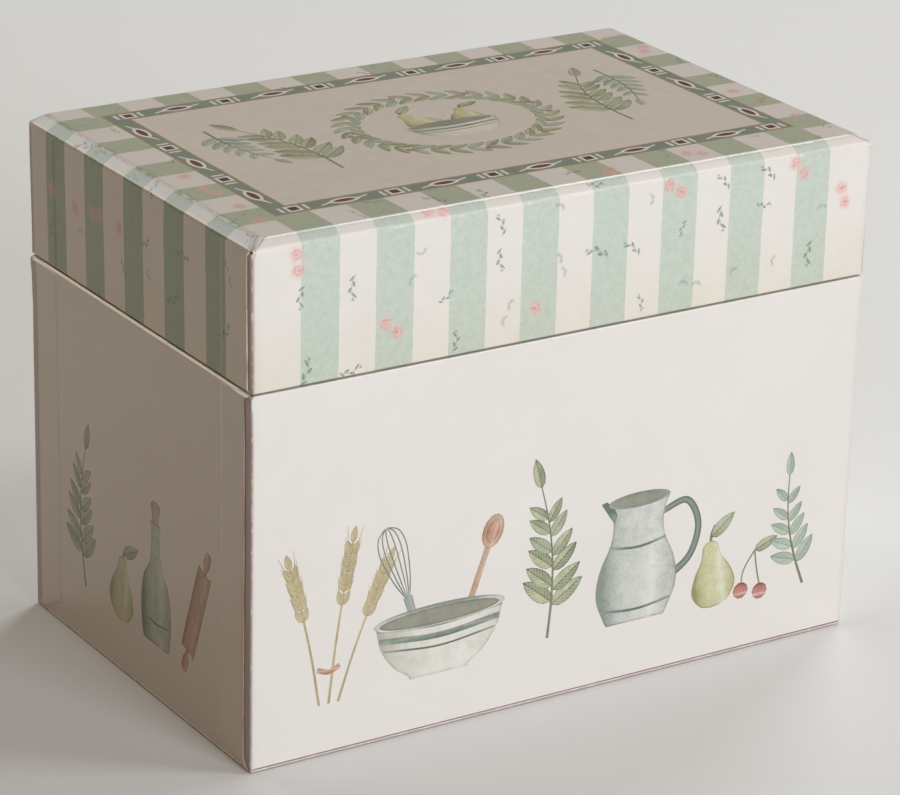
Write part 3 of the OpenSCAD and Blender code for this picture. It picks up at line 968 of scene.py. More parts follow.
def base_levels():
    """The rings of the base wrap, from the flap under the base up the wall, over the rim and
    back down behind the paper. Towards the rim the wall flares out by a hair."""
    foot_r, rim_r = 0.4, 0.75
    rings = [(base_foot, turned_under, 0.1, 0.0, 0.0, ear_length, 0.1)]
    arc = [math.pi / 2 * i / 5 for i in range(6)]

    def turned_over(z, flare):
        """How far in the outside of the wrap is: out by the flare, and in again on the bevel that
        it makes as it turns over the corner of the board."""
        bevel = 2 * paper - 0.03 - (base_rim - z)
        return (bevel - flare + math.hypot(bevel + flare, 0.08)) / 2

    def wall(z, inset, rub_and_highlight, r=fold_radius):
        short = 0.3 + 2.7 * ease((z - base_foot) / 1.9) * ease((base_rim - z) / 1.0)
        ear = min(ear_length, 2.2 + 2 * (z - base_foot), 2.2 + 12 * (base_rim - z))
        lap = paper * ease((z - base_foot) / 1.0) * ease((base_rim - z) / 0.6)
        flare = ease((z - base_rim + 9) / 8)
        insets = tuple(inset + turned_over(z, most * flare) for most in (0.28, 0.04))
        return z, insets, max(0.1, r - inset), lap, short, ear, rub_and_highlight

    rings += [wall(base_foot + foot_r * (1 - math.cos(a)), foot_r * (1 - math.sin(a)), 0.9)
              for a in arc]
    rings += [wall(base_foot + h, inset, rub_and_highlight) for h, inset, rub_and_highlight in
              ((0.52, 0.0, 0.9), (0.66, 0.13, 0.0), (0.8, 0.13, 0.0), (0.94, 0.0, 0.0),
               (3.0, 0.0, 0.0), (4.6, 0.0, 0.0))]
    first_wall = len(rings)
    low, high = base_foot + 6.0, base_rim - 4.0
    rings += [wall(low + (high - low) * i / 10, 0.0, 0.0) for i in range(11)]
    last_wall = len(rings) - 1
    # The fold over the rim is rubbed paler, and that whitening is also a painted highlight.
    rings += [wall(base_rim - h, inset, rub_and_highlight, 0.3) for h, inset, rub_and_highlight in
              ((2.6, 0.0, 0.0), (1.4, 0.0, 0.0), (1.0, 0.0, 0.0), (0.84, 0.0, 0.4),
               (0.72, 0.0, 0.6), (0.58, 0.0, 0.4), (0.4, 0.0, 0.0), (0.14, 0.0, 0.0),
               (0.04, 0.02, 0.5), (0.0, 0.12, 0.8))]
    for a in arc:
        rings.append((base_rim - rim_r * (1 - math.cos(a)), base_wall - rim_r * (1 - math.sin(a)),
                      0.15, 0.0, 0.3, 6.0, 0.6))
    rings.append((base_rim - turned_in, base_wall, 0.1, 0.0, 0.3, 6.0, 0.0))
    rings.append((base_rim - turned_in, base_wall - paper, 0.1, 0.0, 0.3, 6.0, 0.0))
    rings.append((base_rim - paper, base_wall - paper, 0.1, 0.0, 0.3, 6.0, 0.0))
    rings.append((base_rim - paper, paper, 0.1, 0.0, 0.3, 6.0, 0.0))
    rings.append((base_foot + paper, paper, 0.1, 0.0, 0.3, 6.0, 0.0))
    rings.append((base_foot + paper, turned_under, 0.1, 0.0, 0.3, 6.0, 0.0))
    return rings, first_wall, last_wall


# How much darker the long walls are on the rings by the foot; in the groove above the foot (rings 8 and
# 9) it is painted shade.
FOOT_DARKENING = {4: 0.2, 5: 0.3, 6: 0.3, 7: 0.35, 8: 1.3, 9: 1.3}


def foot_darkened(dark):
    """How dark a ring by the base's foot is along the long walls, where a crease runs; in the groove it
    is painted shade.
    """
    def soil_and_shade(strip, column):
        return max(soiled_and_shaded(strip, column), dark if STRIPS[strip] == "long" else 0.0)
    return soil_and_shade


def panel_rim(rows, first, last, columns):
    """Indices round a panel: along its foot, up one side, back along its top and down."""
    foot = [rows[first][c] for c in columns]
    rise = [rows[k][columns[-1]] for k in range(first + 1, last)]
    top = [rows[last][c] for c in reversed(columns)]
    fall = [rows[k][columns[0]] for k in range(last - 1, first, -1)]
    return foot + rise + top + fall


def wall_panels(sheet, rows, first, last, pictures, flat_of, swell):
    """Prints the four wall panels. A picture's x runs to the right, seen from outside."""
    half = len(STRIPS) // 2
    sides = ((LONG_PANEL, 0, 1.0), (END_PANEL, 0, 1.0), (LONG_PANEL, half, -1.0),
             (END_PANEL, half, -1.0))
    for k, (strips, offset, sign) in enumerate(sides):
        columns = [c % len(STRIPS) for c in along(strips, offset)]
        rim = panel_rim(rows, first, last, columns)
        across = 0 if k % 2 == 0 else 1
        out_axis = 1 - across
        edge = [sheet.points[rows[level][columns[0]]] for level in range(first, last + 1)]
        heights = [point[2] for point in edge]
        depths = [point[out_axis] for point in edge]
        outward = math.copysign(1.0, depths[0])
        spots = [(sheet.points[i][across] * sign, sheet.points[i][2]) for i in rim]
        low, high = np.min(spots, axis=0), np.max(spots, axis=0)

        def bow(x, z):
            share = (x - low[0]) / (high[0] - low[0]), (z - low[1]) / (high[1] - low[1])
            rise = 16 * share[0] * (1 - share[0]) * share[1] * (1 - share[1])
            return swell * rise

        def to_sheet(x, z, rise):
            point = [0.0, 0.0, z]
            point[across] = x * sign
            point[out_axis] = np.interp(z, heights, depths) + outward * rise
            return point

        printed_panel(sheet, rim, spots, pictures[k], to_sheet,
                      lambda x, z: flat_of(k, x * sign, z), bow)


def wrapped_base():
    sheet = Sheet()
    levels, first, last = base_levels()
    rows = [sheet.add_points(ring(*level[:6])) for level in levels]
    rubs_and_highlights = [level[6] for level in levels]
    half = len(STRIPS) // 2
    panels = {i for i in (*LONG_PANEL, *END_PANEL)}
    panels |= {i + half for i in panels}

    def no_flat(point, strip):
        return 0.0, 0.0

    for k in range(len(rows)):
        after = (k + 1) % len(rows)
        inside = first <= k < last
        soils_and_shades = [foot_darkened(FOOT_DARKENING.get(i, 0.0)) for i in (k, after)]
        band(sheet, rows[k], rows[after], no_flat, rubs_and_highlights[k], rubs_and_highlights[after], panels if inside else (),
             soils_and_shades, bare_cut=0.25)
    front, end = front_picture(), end_picture()
    wall_panels(sheet, rows, first, last, (front, end, front, end), lambda k, x, z: (0.0, 0.0),
                swell=0.1)
    piece = sheet.made("base_wrap_paper", base_print())
    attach(piece, "base")
    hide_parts("base_wrap")


wrapped_base()

# Bottom paper, floor lining and back lining: uncoated papers glued in last. The foot paper hides
# the flaps under the base, and the linings hide the board and the turned-in edges inside.


def plain_paper(name, light, dark, fibre=0.5):
    material, tree, at, shader = surface(name, roughness=0.78)
    patches = clouds(tree, at, 22.0, 4.0)
    specks = clouds(tree, at, 0.6, 3.0)
    tone = patches * 0.6 + specks * 0.4
    wire(tree, tinted(tree, tone, rgb(light), rgb(dark)), shader.inputs["Base Color"])
    wire(tree, specks * 0.2 + 0.66, shader.inputs["Roughness"])
    bump = place(tree, "Bump", {"Height": clouds(tree, at, 0.25, 4.0), "Strength": fibre,
                                "Distance": 0.00008})
    wire(tree, out(tree, bump, "Normal"), shader.inputs["Normal"])
    return material


lining_finish = plain_paper("lining_paper", "efe9dc", "e2d9c7")
dress("bottom_paper", plain_paper("foot_paper", "e9e2d4", "dcd2c0"))
for lining in ("floor_lining", "back_lining", "lid_lining"):
    dress(lining, lining_finish)

# Neck: three card panels covered in the lining paper, standing against the walls. They rise above
# the rim and guide the lid down over them, and the front one has rounded upper corners.
neck_finish = plain_paper("neck_card", "ece5d6", "dfd5c2", 0.4)
for panel in ("neck_front", "neck_left", "neck_right"):
    dress(panel, neck_finish)

# Hinge strip: one strip of book cloth along the back. Its leaves are glued up the inside of both
# back walls and out over the rims, and the roll between them is the hinge.
leaf_low, leaf_high = corners("hinge_base_leaf")
lid_leaf_low, lid_leaf_high = corners("hinge_lid_leaf")
lid_rim = corners("lid_wrap")[0].z


def hinge_cloth():
    material, tree, at, shader = surface("hinge_cloth", roughness=0.85)
    split = place(tree, "SeparateXYZ", {"Vector": at})
    warp = (out(tree, split, "X") / MM).wrapped(0.42) / 0.21
    weft = ((out(tree, split, "Z") + out(tree, split, "Y")) / MM).wrapped(0.46) / 0.23
    weave = warp * weft
    slub = clouds(tree, at, 0.8, 3.0, (0.1, 1, 1))
    tone = weave * 0.55 + slub * 0.45
    wire(tree, tinted(tree, tone, rgb("5f7260"), rgb("8fa38d")), shader.inputs["Base Color"])
    bump = place(tree, "Bump", {"Height": weave, "Strength": 0.6, "Distance": 0.0001})
    wire(tree, out(tree, bump, "Normal"), shader.inputs["Normal"])
    return material


def hinge_strip():
    """A closed strip with the section of both leaves and the roll between them."""
    cloth = paper
    inner, lid_inner = leaf_low.y + cloth / 2, lid_leaf_low.y + cloth / 2
    low_z, high_z = base_rim + cloth / 2, lid_rim - cloth / 2
    roll = (high_z - low_z) / 2
    roll_y = wrap_y
    line = [(inner, leaf_low.z), (inner, low_z - 6), (inner, low_z - 0.15),
            (inner + 0.05, low_z - 0.04), (inner + 0.15, low_z)]
    line += [(roll_y - 1.2, low_z), (roll_y - 0.3, low_z)]
    line += [(roll_y + roll * math.cos(a), (low_z + high_z) / 2 + roll * math.sin(a))
             for a in [math.pi * (i / 10 - 0.5) for i in range(11)]]
    line += [(roll_y - 0.3, high_z), (roll_y - 1.2, high_z), (lid_inner + 0.15, high_z),
             (lid_inner + 0.05, high_z + 0.04), (lid_inner, high_z + 0.15),
             (lid_inner, high_z + 6), (lid_inner, lid_leaf_high.z)]
    line = np.array(line)
    tangent = np.gradient(line, axis=0)
    tangent /= np.linalg.norm(tangent, axis=1, keepdims=True)
    across = np.stack([-tangent[:, 1], tangent[:, 0]], 1) * (cloth / 2 - 0.01)
    section = np.vstack([line + across, (line - across)[::-1]])
    columns = 24
    xs = np.linspace(leaf_low.x, leaf_high.x, columns + 1)
    points = [(x * MM, y * MM, z * MM) for x in xs for y, z in section]
    n = len(section)
    faces = [(c * n + i, c * n + (i + 1) % n, (c + 1) * n + (i + 1) % n, (c + 1) * n + i)
             for c in range(columns) for i in range(n)]
    for c in (0, columns):
        faces += [(c * n + i, c * n + i + 1, c * n + n - 2 - i, c * n + n - 1 - i)
                  for i in range(n // 2 - 1)]
    mesh = bpy.data.meshes.new("hinge_strip")
    mesh.from_pydata(points, [], faces)
    work = bmesh.new()
    work.from_mesh(mesh)
    bmesh.ops.recalc_face_normals(work, faces=work.faces)
    work.to_mesh(mesh)
    work.free()
    mesh.shade_smooth()
    mesh.set_sharp_from_angle(angle=math.radians(50))
    mesh.materials.append(hinge_cloth())
    piece = bpy.data.objects.new("hinge_strip", mesh)
    bpy.context.scene.collection.objects.link(piece)
    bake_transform(piece)
    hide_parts("hinge_base_leaf", "hinge_lid_leaf")


hinge_strip()

# Lid wrap: one printed and laminated sheet folded over the lid board like gift wrap. A double
# score leaves a narrow bevel round the top, and the corners are tucked in a small pleat. The
# print is a striped border with blossoms, a linked band and a picture in the middle.
lid_board_low, lid_board_high = corners("lid_board")
lid_wrap_low, lid_wrap_high = corners("lid_wrap")
lid_top = lid_wrap_high.z
bevel_down, bevel_in, bevel_in_long = 2.1, 3.1, 2.35
lid_wall = wrap_x - (corners("hinge_lid_leaf")[0].y - wrap_y + 54.0) * 0 - 81.65
lid_turned_in = corners("lid_lining")[0].z + 3.0 - lid_rim
top_x, top_y = wrap_x - bevel_in, wrap_y - bevel_in_long

stripe_pitch_long, stripe_wide_long, stripes_long = 19.1, 9.7, 8
stripe_pitch_end, stripe_wide_end, stripes_end = 19.4, 9.3, 5
BAND_X, BAND_FRONT, BAND_BACK, BAND_WIDE = 68.1, -37.6, 40.6, 5.6
BAND_MIDDLE_X = 0.4

INKS.update({
    "band_line": ("c3a377", "94704c", (0.0, 0.5, 0.0)),
    "band_ground": ("8b9a8b", "6f8073", (0.0, 0.8, 0.0)),
    "band_white": ("f1ede8", "e2dcd2", (0.0, 0.1, 0.0)),
    "band_dark": ("5c2a33", "43202a", (0.0, 0.2, 0.0)),
    "band_red": ("7a2f38", "5a222c", (0.0, 0.2, 0.0)),
    "panel": ("e0d8d1", "d3c9be", (0.0, 0.25, 0.0)),
})


def rectangle(picture, x0, y0, x1, y1, ink, pool=0.0):
    middle = ((x0 + x1) / 2, (y0 + y1) / 2)
    w, h = (x1 - x0) / 2, (y1 - y0) / 2
    painted(picture, [(-w, -h), (w, -h), (w, h), (-w, h)], ink, middle, 0.0, 2 * w, 2 * h, pool)


def link_square(picture, at, turn):
    """A framed square between two short bars."""
    for side in (-1, 1):
        painted(picture, [(side * 3.2 - 0.38, -1.6), (side * 3.2 + 0.38, -1.6),
                          (side * 3.2 + 0.38, 1.6), (side * 3.2 - 0.38, 1.6)],
                "band_white", at, turn, 1.0, 2.0, 0.0)
    for half, ink in ((1.85, "band_white"), (1.15, "band_dark")):
        painted(picture, [(-half, -half), (half, -half), (half, half), (-half, half)], ink, at,
                turn, half, 2 * half, 0.0)


def link_lozenge(picture, at, turn):
    """A framed lozenge whose points run out into slender tails."""
    for side in (-1, 1):
        tail = [(side * 2.8, side * -0.1), (side * 4.6, side * 0.4), (side * 6.5, side * 1.1)]
        line = smooth_line(tail, 4)
        c, s = math.cos(turn), math.sin(turn)
        stroke(picture, [(at[0] + x * c - y * s, at[1] + x * s + y * c) for x, y in line[::4]],
               0.8, 0.45, "band_white", 3)
    for long_half, half, ink in ((4.1, 1.7, "band_white"), (2.9, 0.95, "band_red")):
        arc = [(long_half * math.cos(a), half * math.sin(a) * abs(math.sin(a)) ** 0.35)
               for a in [2 * math.pi * i / 16 for i in range(16)]]
        painted(picture, arc, ink, at, turn, long_half, 2 * half, 0.0)


def linked_band(picture):
    """The frame of links round the top: a ground between two fine lines, and the links."""
    half = BAND_WIDE / 2
    x0, x1 = BAND_MIDDLE_X - BAND_X, BAND_MIDDLE_X + BAND_X
    for grow, ink in ((half, "band_line"), (half - 0.45, "band_ground"),
                      (0.45 - half, "band_line"), (-half, "panel")):
        rectangle(picture, x0 - grow, BAND_FRONT - grow, x1 + grow, BAND_BACK + grow, ink)
    for y in (BAND_FRONT, BAND_BACK):
        for k in range(-5, 6):
            link = link_square if k % 2 else link_lozenge
            link(picture, (BAND_MIDDLE_X + 0.5 + 13.05 * k, y), 0.0)
    middle = (BAND_FRONT + BAND_BACK) / 2 - 0.6
    for x in (x0, x1):
        for k in range(-2, 3):
            link = link_square if k % 2 else link_lozenge
            link(picture, (x, middle + 13.2 * k), UP)


def top_picture():
    """The print inside the top's band: an oval wreath round a bowl of pears, between sprigs."""
    picture = []
    linked_band(picture)
    centre = (BAND_MIDDLE_X, (BAND_FRONT + BAND_BACK) / 2)
    count = 34
    for i in range(count):
        a = 2 * math.pi * i / count
        x, y = centre[0] + 25 * math.cos(a), centre[1] + 20.5 * math.sin(a)
        heading = math.atan2(20.5 * math.cos(a), -25 * math.sin(a))
        for side in (-1, 1):
            leaf(picture, (x, y), heading + side * 0.62, 6.2, 2.5, "leaf" if i % 3 else "sage", 7)
        if i % 4 == 1:
            oval(picture, (x + 1.5 * math.cos(a), y + 1.5 * math.sin(a)), 0.0, 1.9, 1.9, "berry",
                 0.3)
    pear(picture, (centre[0] - 4.5, centre[1] - 4.0), UP + 0.2, 0.8)
    pear(picture, (centre[0] + 5.0, centre[1] - 4.2), UP - 0.25, 0.74)
    mixing_bowl(picture, (centre[0], centre[1] - 11.5), 0.72)
    for side in (-1, 1):
        foot = centre[0] + side * 40
        sprig(picture, (foot, centre[1] - 19), UP - side * 0.25, 38, 6, side * 0.1, "leaf", 1.05)
        sprig(picture, (foot + side * 15, centre[1] + 20), -UP - side * 0.2, 27, 5, side * 0.08,
              "sage", 1.0)
    return picture


def scatter_group():
    """Blossoms and sprigs strewn over the striped ground, one to a random cell, in millimetres
    of the flat sheet."""
    group = bpy.data.node_groups.new("strewn_flowers", "ShaderNodeTree")
    group.interface.new_socket("Sheet", in_out="INPUT", socket_type="NodeSocketVector")
    group.interface.new_socket("Pitch", in_out="INPUT", socket_type="NodeSocketFloat")
    for name in ("Petals", "Eye", "Twig", "Smudge"):
        group.interface.new_socket(name, in_out="OUTPUT", socket_type="NodeSocketFloat")
    given = group.nodes.new("NodeGroupInput")
    result = group.nodes.new("NodeGroupOutput")
    sheet, pitch = out(group, given, "Sheet"), out(group, given, "Pitch")
    cells = place(group, "VectorMath", {0: sheet, 1: (0, 0, 0)}, operation="DIVIDE")
    per = place(group, "CombineXYZ", {"X": pitch, "Y": pitch, "Z": 1.0})
    wire(group, out(group, per, "Vector"), cells.inputs[1])
    cell = place(group, "TexVoronoi", {"Vector": out(group, cells, "Vector"), "Scale": 1.0,
                                       "Randomness": 0.72}, voronoi_dimensions="2D")
    chance = place(group, "SeparateColor", {"Color": out(group, cell, "Color")})
    kind, spin = out(group, chance, "Red"), out(group, chance, "Green") * (2 * math.pi)
    pick = out(group, chance, "Blue")
    away = place(group, "VectorMath", {0: out(group, cells, "Vector"),
                                       1: out(group, cell, "Position")}, operation="SUBTRACT")
    parts = place(group, "SeparateXYZ", {"Vector": out(group, away, "Vector")})
    dx, dy = out(group, parts, "X") * pitch, out(group, parts, "Y") * pitch
    cos, sin = spin.through("COSINE"), spin.through("SINE")
    a, b = dx * cos + dy * sin, dy * cos - dx * sin
    jitter = place(group, "TexNoise", {"Vector": sheet, "Scale": 1.3, "Detail": 3.0})
    shake = out(group, jitter, "Fac") - 0.5
    twin = pick.below(0.45, 0.001)
    ax = a.through("ABSOLUTE") - 1.9
    ax = ax * twin + a * (twin * -1.0 + 1.0)
    radius = (ax * ax + b * b).through("SQRT") * 0.8 + shake * 1.1
    angle = b.through("ARCTAN2", ax)
    lobes = (angle * 5.0).through("COSINE") * 0.16 + 1.6
    blossom = kind.below(0.27, 0.001)
    halo = (radius - lobes + shake).below(-0.2, 0.75) * (shake * 2.2 + 0.6)
    wire(group, (halo * blossom).through("MULTIPLY", 1.0, clamp=True), result.inputs["Petals"])
    strokes = (radius - 0.7).through("ABSOLUTE").below(0.25, 0.4) * shake.below(0.0, 0.08)
    eye = (radius + shake * 1.5).below(0.15, 0.35).at_least(strokes * 0.7)
    wire(group, eye * blossom, result.inputs["Eye"])
    twiggy = kind.below(0.68, 0.001) * (blossom * -1.0 + 1.0)
    grow = pick * 0.7 + 0.95
    run, rise = a * grow, b * grow + shake * 0.35
    bent = rise - run * run * 0.09 + 0.8
    stem = bent.through("ABSOLUTE").below(0.12, 0.12) * run.through("ABSOLUTE").below(3.4, 0.3)
    hop = (run + 0.35).through("SNAP", 1.5)
    flip = (hop / 1.5).wrapped(2.0) * 2.0 - 1.0
    la, lb = run - hop - 0.5, bent - flip * 0.55
    leaflet = (la * la * 1.0 + lb * lb * 3.0 - la * lb * flip * 2.2).below(0.38, 0.22)
    leaflet = leaflet * run.through("ABSOLUTE").below(3.2, 0.3)
    wire(group, (stem * 0.7).at_least(leaflet) * twiggy * (shake + 0.85), result.inputs["Twig"])
    smudge = (radius - 0.9).through("ABSOLUTE").below(0.25, 0.3) * kind.through(
        "GREATER_THAN", 0.8) * b.below(-0.3, 0.4)
    wire(group, smudge, result.inputs["Smudge"])
    return group


def lid_print():
    material, tree, at, shader = surface("lid_print", **{"Coat Weight": 0.12,
                                                         "Coat Roughness": 0.2})
    flat_map = place(tree, "UVMap", uv_map="flat_sheet")
    sheet = place(tree, "VectorMath", {0: out(tree, flat_map, "UV"), 1: (1000, 1000, 1000)},
                  operation="MULTIPLY")
    sheet = out(tree, sheet, "Vector")
    parts = place(tree, "SeparateXYZ", {"Vector": sheet})
    x, y = out(tree, parts, "X"), out(tree, parts, "Y")
    wobble = place(tree, "TexNoise", {"Vector": sheet, "Scale": 0.35, "Detail": 4.0})
    wobble = (out(tree, wobble, "Fac") - 0.5) * 0.5
    out_x, out_y = x.through("ABSOLUTE") - top_x, y.through("ABSOLUTE") - top_y
    on_end = (out_y - out_x).below(0.0, 0.01)

    def striped(run, pitch, width, count, even):
        from_middle = run if even else run + pitch / 2
        away = from_middle.wrapped(pitch) * -1.0 + pitch / 2
        green = (away + wobble).below(width / 2, 0.12)
        return green * run.through("ABSOLUTE").below(count * pitch / 2, 0.05)

    long_stripes = striped(x, stripe_pitch_long, stripe_wide_long, stripes_long, True)
    end_stripes = striped(y - 0.8, stripe_pitch_end, stripe_wide_end, stripes_end, False)
    green = end_stripes * on_end + long_stripes * (on_end * -1.0 + 1.0)
    cloud = place(tree, "TexNoise", {"Vector": sheet, "Scale": 0.12, "Detail": 5.0,
                                     "Roughness": 0.7})
    grain = place(tree, "TexNoise", {"Vector": sheet, "Scale": 1.6, "Detail": 3.0})
    fibre = place(tree, "TexNoise", {"Vector": sheet, "Scale": 0.5, "Detail": 5.0,
                                     "Roughness": 0.75})
    sage = tinted(tree, out(tree, cloud, "Fac"), rgb("c9d6d0"), rgb("d2d7c3"))
    dense = (out(tree, fibre, "Fac") * 0.7 + out(tree, grain, "Fac") * 0.3).below(0.5, 0.14)
    sage = tinted(tree, dense * 0.5, sage, rgb("afbfb3"))
    on_top = out_x.at_least(out_y).below(0.0, 0.2)
    # Painted shade: the stripes are darker and yellower on the top than on the walls.
    sage = multiplied(tree, on_top, sage, rgb("dedfcd"))
    on_wall = out_x.at_least(out_y).below(3.7, 0.3) * -1.0 + 1.0
    on_bevel = (on_top + on_wall) * -1.0 + 1.0
    # Painted shade: the stripes are darker on the end walls, and a touch darker on the ends' bevels.
    sage = multiplied(tree, on_end * on_wall, sage, rgb("c4d2be"))
    sage = multiplied(tree, on_end * on_bevel, sage, rgb("e2e0d2"))
    cream = tinted(tree, out(tree, cloud, "Fac"), rgb(PAPER_CREAM), rgb("e8e1d8"))
    # Painted shade: the cream is a touch darker on the top.
    cream = multiplied(tree, on_top, cream, rgb("f7f7fa"))
    ground = tinted(tree, green * 0.92, cream, sage)
    # Painted shade: the whole print is a touch darker on the bevel.
    ground = multiplied(tree, on_bevel, ground, rgb("f0f0f1"))
    by_rim = out_x.at_least(out_y).below(27.0, 13.0) * -1.0 + 1.0
    ground = multiplied(tree, by_rim * out(tree, cloud, "Fac") * 1.3, ground, rgb("faf7ed"))
    flowers = grouped(tree, scatter_group(), {"Sheet": sheet, "Pitch": 12.5})
    clear = out_x.at_most(out_y).below(-2.5, 1.0)
    petals = tinted(tree, out(tree, grain, "Fac"), rgb("f4c8c3"), rgb("eaaba7"))
    ground = tinted(tree, out(tree, flowers, "Smudge") * clear * 0.5, ground, rgb("8d938c"))
    ground = tinted(tree, out(tree, flowers, "Petals") * clear * 0.9, ground, petals)
    ground = tinted(tree, out(tree, flowers, "Eye") * clear * 0.85, ground, rgb("d87a7e"))
    ground = tinted(tree, out(tree, flowers, "Twig") * clear * 0.85, ground, rgb("5d7a66"))
    laminated(tree, at, painted_over(tree, at, ground), shader)
    return material


PIT = 0.5
LID_LEAN = 0.3


def lid_levels():
    """The rings of the lid wrap from the edge of its top down to the rim, up inside as the
    turned-in edge, and back behind the paper. Each also carries how rubbed and highlit it is, its pleat
    and its pit."""
    wall_r, rim_r = 0.85, 0.35
    slope = math.atan2(bevel_down, bevel_in)
    rings = []

    def lay(z, inset, radius, rub_and_highlight, pleat=0.0, pit=0.0):
        down = (lid_top - bevel_down - z)
        lap = paper * ease(down / 0.8) * ease((z - lid_rim) / 0.6)
        short = 0.75 + 1.05 * ease((down + 0.3) / 1.4) * ease((z - lid_rim + 0.3) / 1.0)
        ear = min(ear_length, short + 1 + 40 * ease((down - 0.2) / 0.8))
        lean = LID_LEAN * ease((z - lid_rim) / 30)
        inset = inset - lean, inset * bevel_in_long / bevel_in
        rings.append((z, inset, radius, lap, short, ear, rub_and_highlight, pleat, pit))

    def rounded(z, inset, start, turn, count, rub_and_highlight, corner, pleat, crease):
        """Rings round a crease: start and turn are the slope's angles before and after."""
        tangent = crease * math.tan(turn / 2)
        z0 = z + tangent * math.sin(start)
        i0 = inset + tangent * math.cos(start)
        for i in range(count + 1):
            a = turn * i / count
            run = crease * math.sin(a)
            drop = crease * (1 - math.cos(a))
            lay(z0 - run * math.sin(start) - drop * math.cos(start),
                i0 - run * math.cos(start) + drop * math.sin(start), corner,
                rub_and_highlight * math.sin(math.pi * i / count),
                pleat if i else 0.0, PIT if pleat == 1.0 and i in (3, 4, 5) else 0.0)

    # Both creases of the bevel are rubbed paler along their middle, and that whitening is also a painted
    # highlight.
    rounded(lid_top, bevel_in, 0.0, slope, 6, 1.1, 1.25, 0.8, 3.2)
    lay(lid_top - bevel_down * 0.5, bevel_in * 0.5, 1.05, 0.0, 0.99)
    rounded(lid_top - bevel_down, 0.0, slope, math.pi / 2 - slope, 6, 0.9, 0.8, 1.0, 1.1)
    first_wall = len(rings)
    high, low = lid_top - bevel_down - 1.4, lid_rim + rim_r + 0.5
    for i in range(6):
        lay(high + (low - high) * i / 5, 0.0, wall_r, 0.0)
    last_wall = len(rings) - 1
    arc = [math.pi / 2 * i / 5 for i in range(6)]
    for a in arc:
        lay(lid_rim + rim_r * (1 - math.sin(a)), rim_r * (1 - math.cos(a)),
            max(0.1, wall_r * math.cos(a)), 0.45)
    inner = wrap_x - lid_inner_x
    for a in arc:
        rings.append((lid_rim + rim_r * (1 - math.cos(a)), inner - rim_r * (1 - math.sin(a)), 0.15,
                      0.0, 0.3, 6.0, 0.3, 0.0, 0.0))
    for z, inset in ((lid_turn_top, inner), (lid_turn_top, inner - paper),
                     (lid_rim + paper, inner - paper), (lid_rim + paper, paper),
                     (lid_top - bevel_down - 0.1, paper), (lid_top - paper, bevel_in + 0.06)):
        rings.append((z, inset, 0.1, 0.0, 0.3, 6.0, 0.0, 0.0, 0.0))
    return rings, first_wall, last_wall


lid_turn_top = corners("lid_lining")[0].z + 3.0
lid_inner_x = lid_board_high.x - 1.75 - paper


def tucked(points, pleat, pit):
    """Sinks the corner columns of a bevel ring where the paper's pleat is creased under, and the
    columns round the small open end of the pleat."""
    half = len(points) // 2
    moved = list(points)
    for start, way in ((FRONT_COLUMNS, 1), (half, -1)):
        for offset in (0, half):
            for i in range(ARC_COLUMNS + 2):
                k = (start + way * i + offset) % len(points)
                x, y, z = points[k]
                fold = 1.0 if i in (0, ARC_COLUMNS) else 0.0
                depth = 0.2 * pleat * fold + pit * PLEAT_HOLE_PIT_AND_SHADOW[i]
                size = math.hypot(x, y)
                moved[k] = (x - depth * x / size, y - depth * y / size, z)
    return moved


def wrapped_lid():
    sheet = Sheet()
    levels, first, last = lid_levels()
    rows = [sheet.add_points(tucked(ring(*level[:6]), *level[7:])) for level in levels]
    rubs_and_highlights = [level[6] for level in levels]
    half = len(STRIPS) // 2
    panels = {i for i in (*LONG_PANEL, *END_PANEL)}
    panels |= {i + half for i in panels}
    down = [0.0]
    for before, after in zip(levels, levels[1:]):
        run = np.max(after[1]) - np.max(before[1])
        down.append(down[-1] + math.hypot(after[0] - before[0], run))
    down_of = {point: down[k] for k, row in enumerate(rows) for point in row}

    def flat_of(point, strip):
        x, y, z = sheet.points[point]
        if STRIPS[strip] == "end":
            return math.copysign(top_x + down_of[point], x), y
        return x, math.copysign(top_y + down_of[point], y)

    for k in range(len(rows) - 1):
        inside = first <= k < last
        soils_and_shades = [pleat_hole_shadow if levels[i][8] else pleat_crease_shade if levels[i][7] else soiled_and_shaded
                 for i in (k, k + 1)]
        bare = 1.0 if levels[k][0] < lid_rim + 23 else 0.35
        band(sheet, rows[k], rows[k + 1], flat_of, rubs_and_highlights[k], rubs_and_highlights[k + 1], panels if inside else (),
             soils_and_shades if k else (pleat_crease_shade, pleat_crease_shade), bare)
    sheet.add_face(list(reversed(rows[-1])))
    rim = rows[0]
    spots = [sheet.points[i][:2] for i in rim]
    printed_panel(sheet, rim, spots, top_picture(), lambda x, y, rise: (x, y, lid_top + rise),
                  lambda x, y: (x, y), lambda x, y: 0.0)

    def wall_flat(k, run, z):
        reach = down[first] + (levels[first][0] - z)
        if k == 0:
            return run, -(top_y + reach)
        if k == 1:
            return top_x + reach, run
        if k == 2:
            return run, top_y + reach
        return -(top_x + reach), run

    wall_panels(sheet, rows[::-1], len(rows) - 1 - last, len(rows) - 1 - first,
                ([], [], [], []), wall_flat, swell=0.06)
    piece = sheet.made("lid_wrap_paper", lid_print(), 24.0)
    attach(piece, "lid")
    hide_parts("lid_wrap")


wrapped_lid()

# Dividers: five sheets of coloured card with staggered tabs, die-cut, with a fibrous surface and
# slightly paler cut edges. They stand between the bunches of recipe cards.
DIVIDER_TINTS = {"sage": ("9db396", "869d80"), "straw": ("d9c48d", "c7ae74"),
                 "terracotta": ("c98f76", "b67a61"), "moss": ("a8ab72", "91955e"),
                 "stone": ("b9b3a4", "a59e8e")}
for k, (tint, (light, dark)) in enumerate(DIVIDER_TINTS.items(), 1):
    name = "divider_" + tint
    dress(f"divider_{k}", plain_paper(name, light, dark, 0.6))

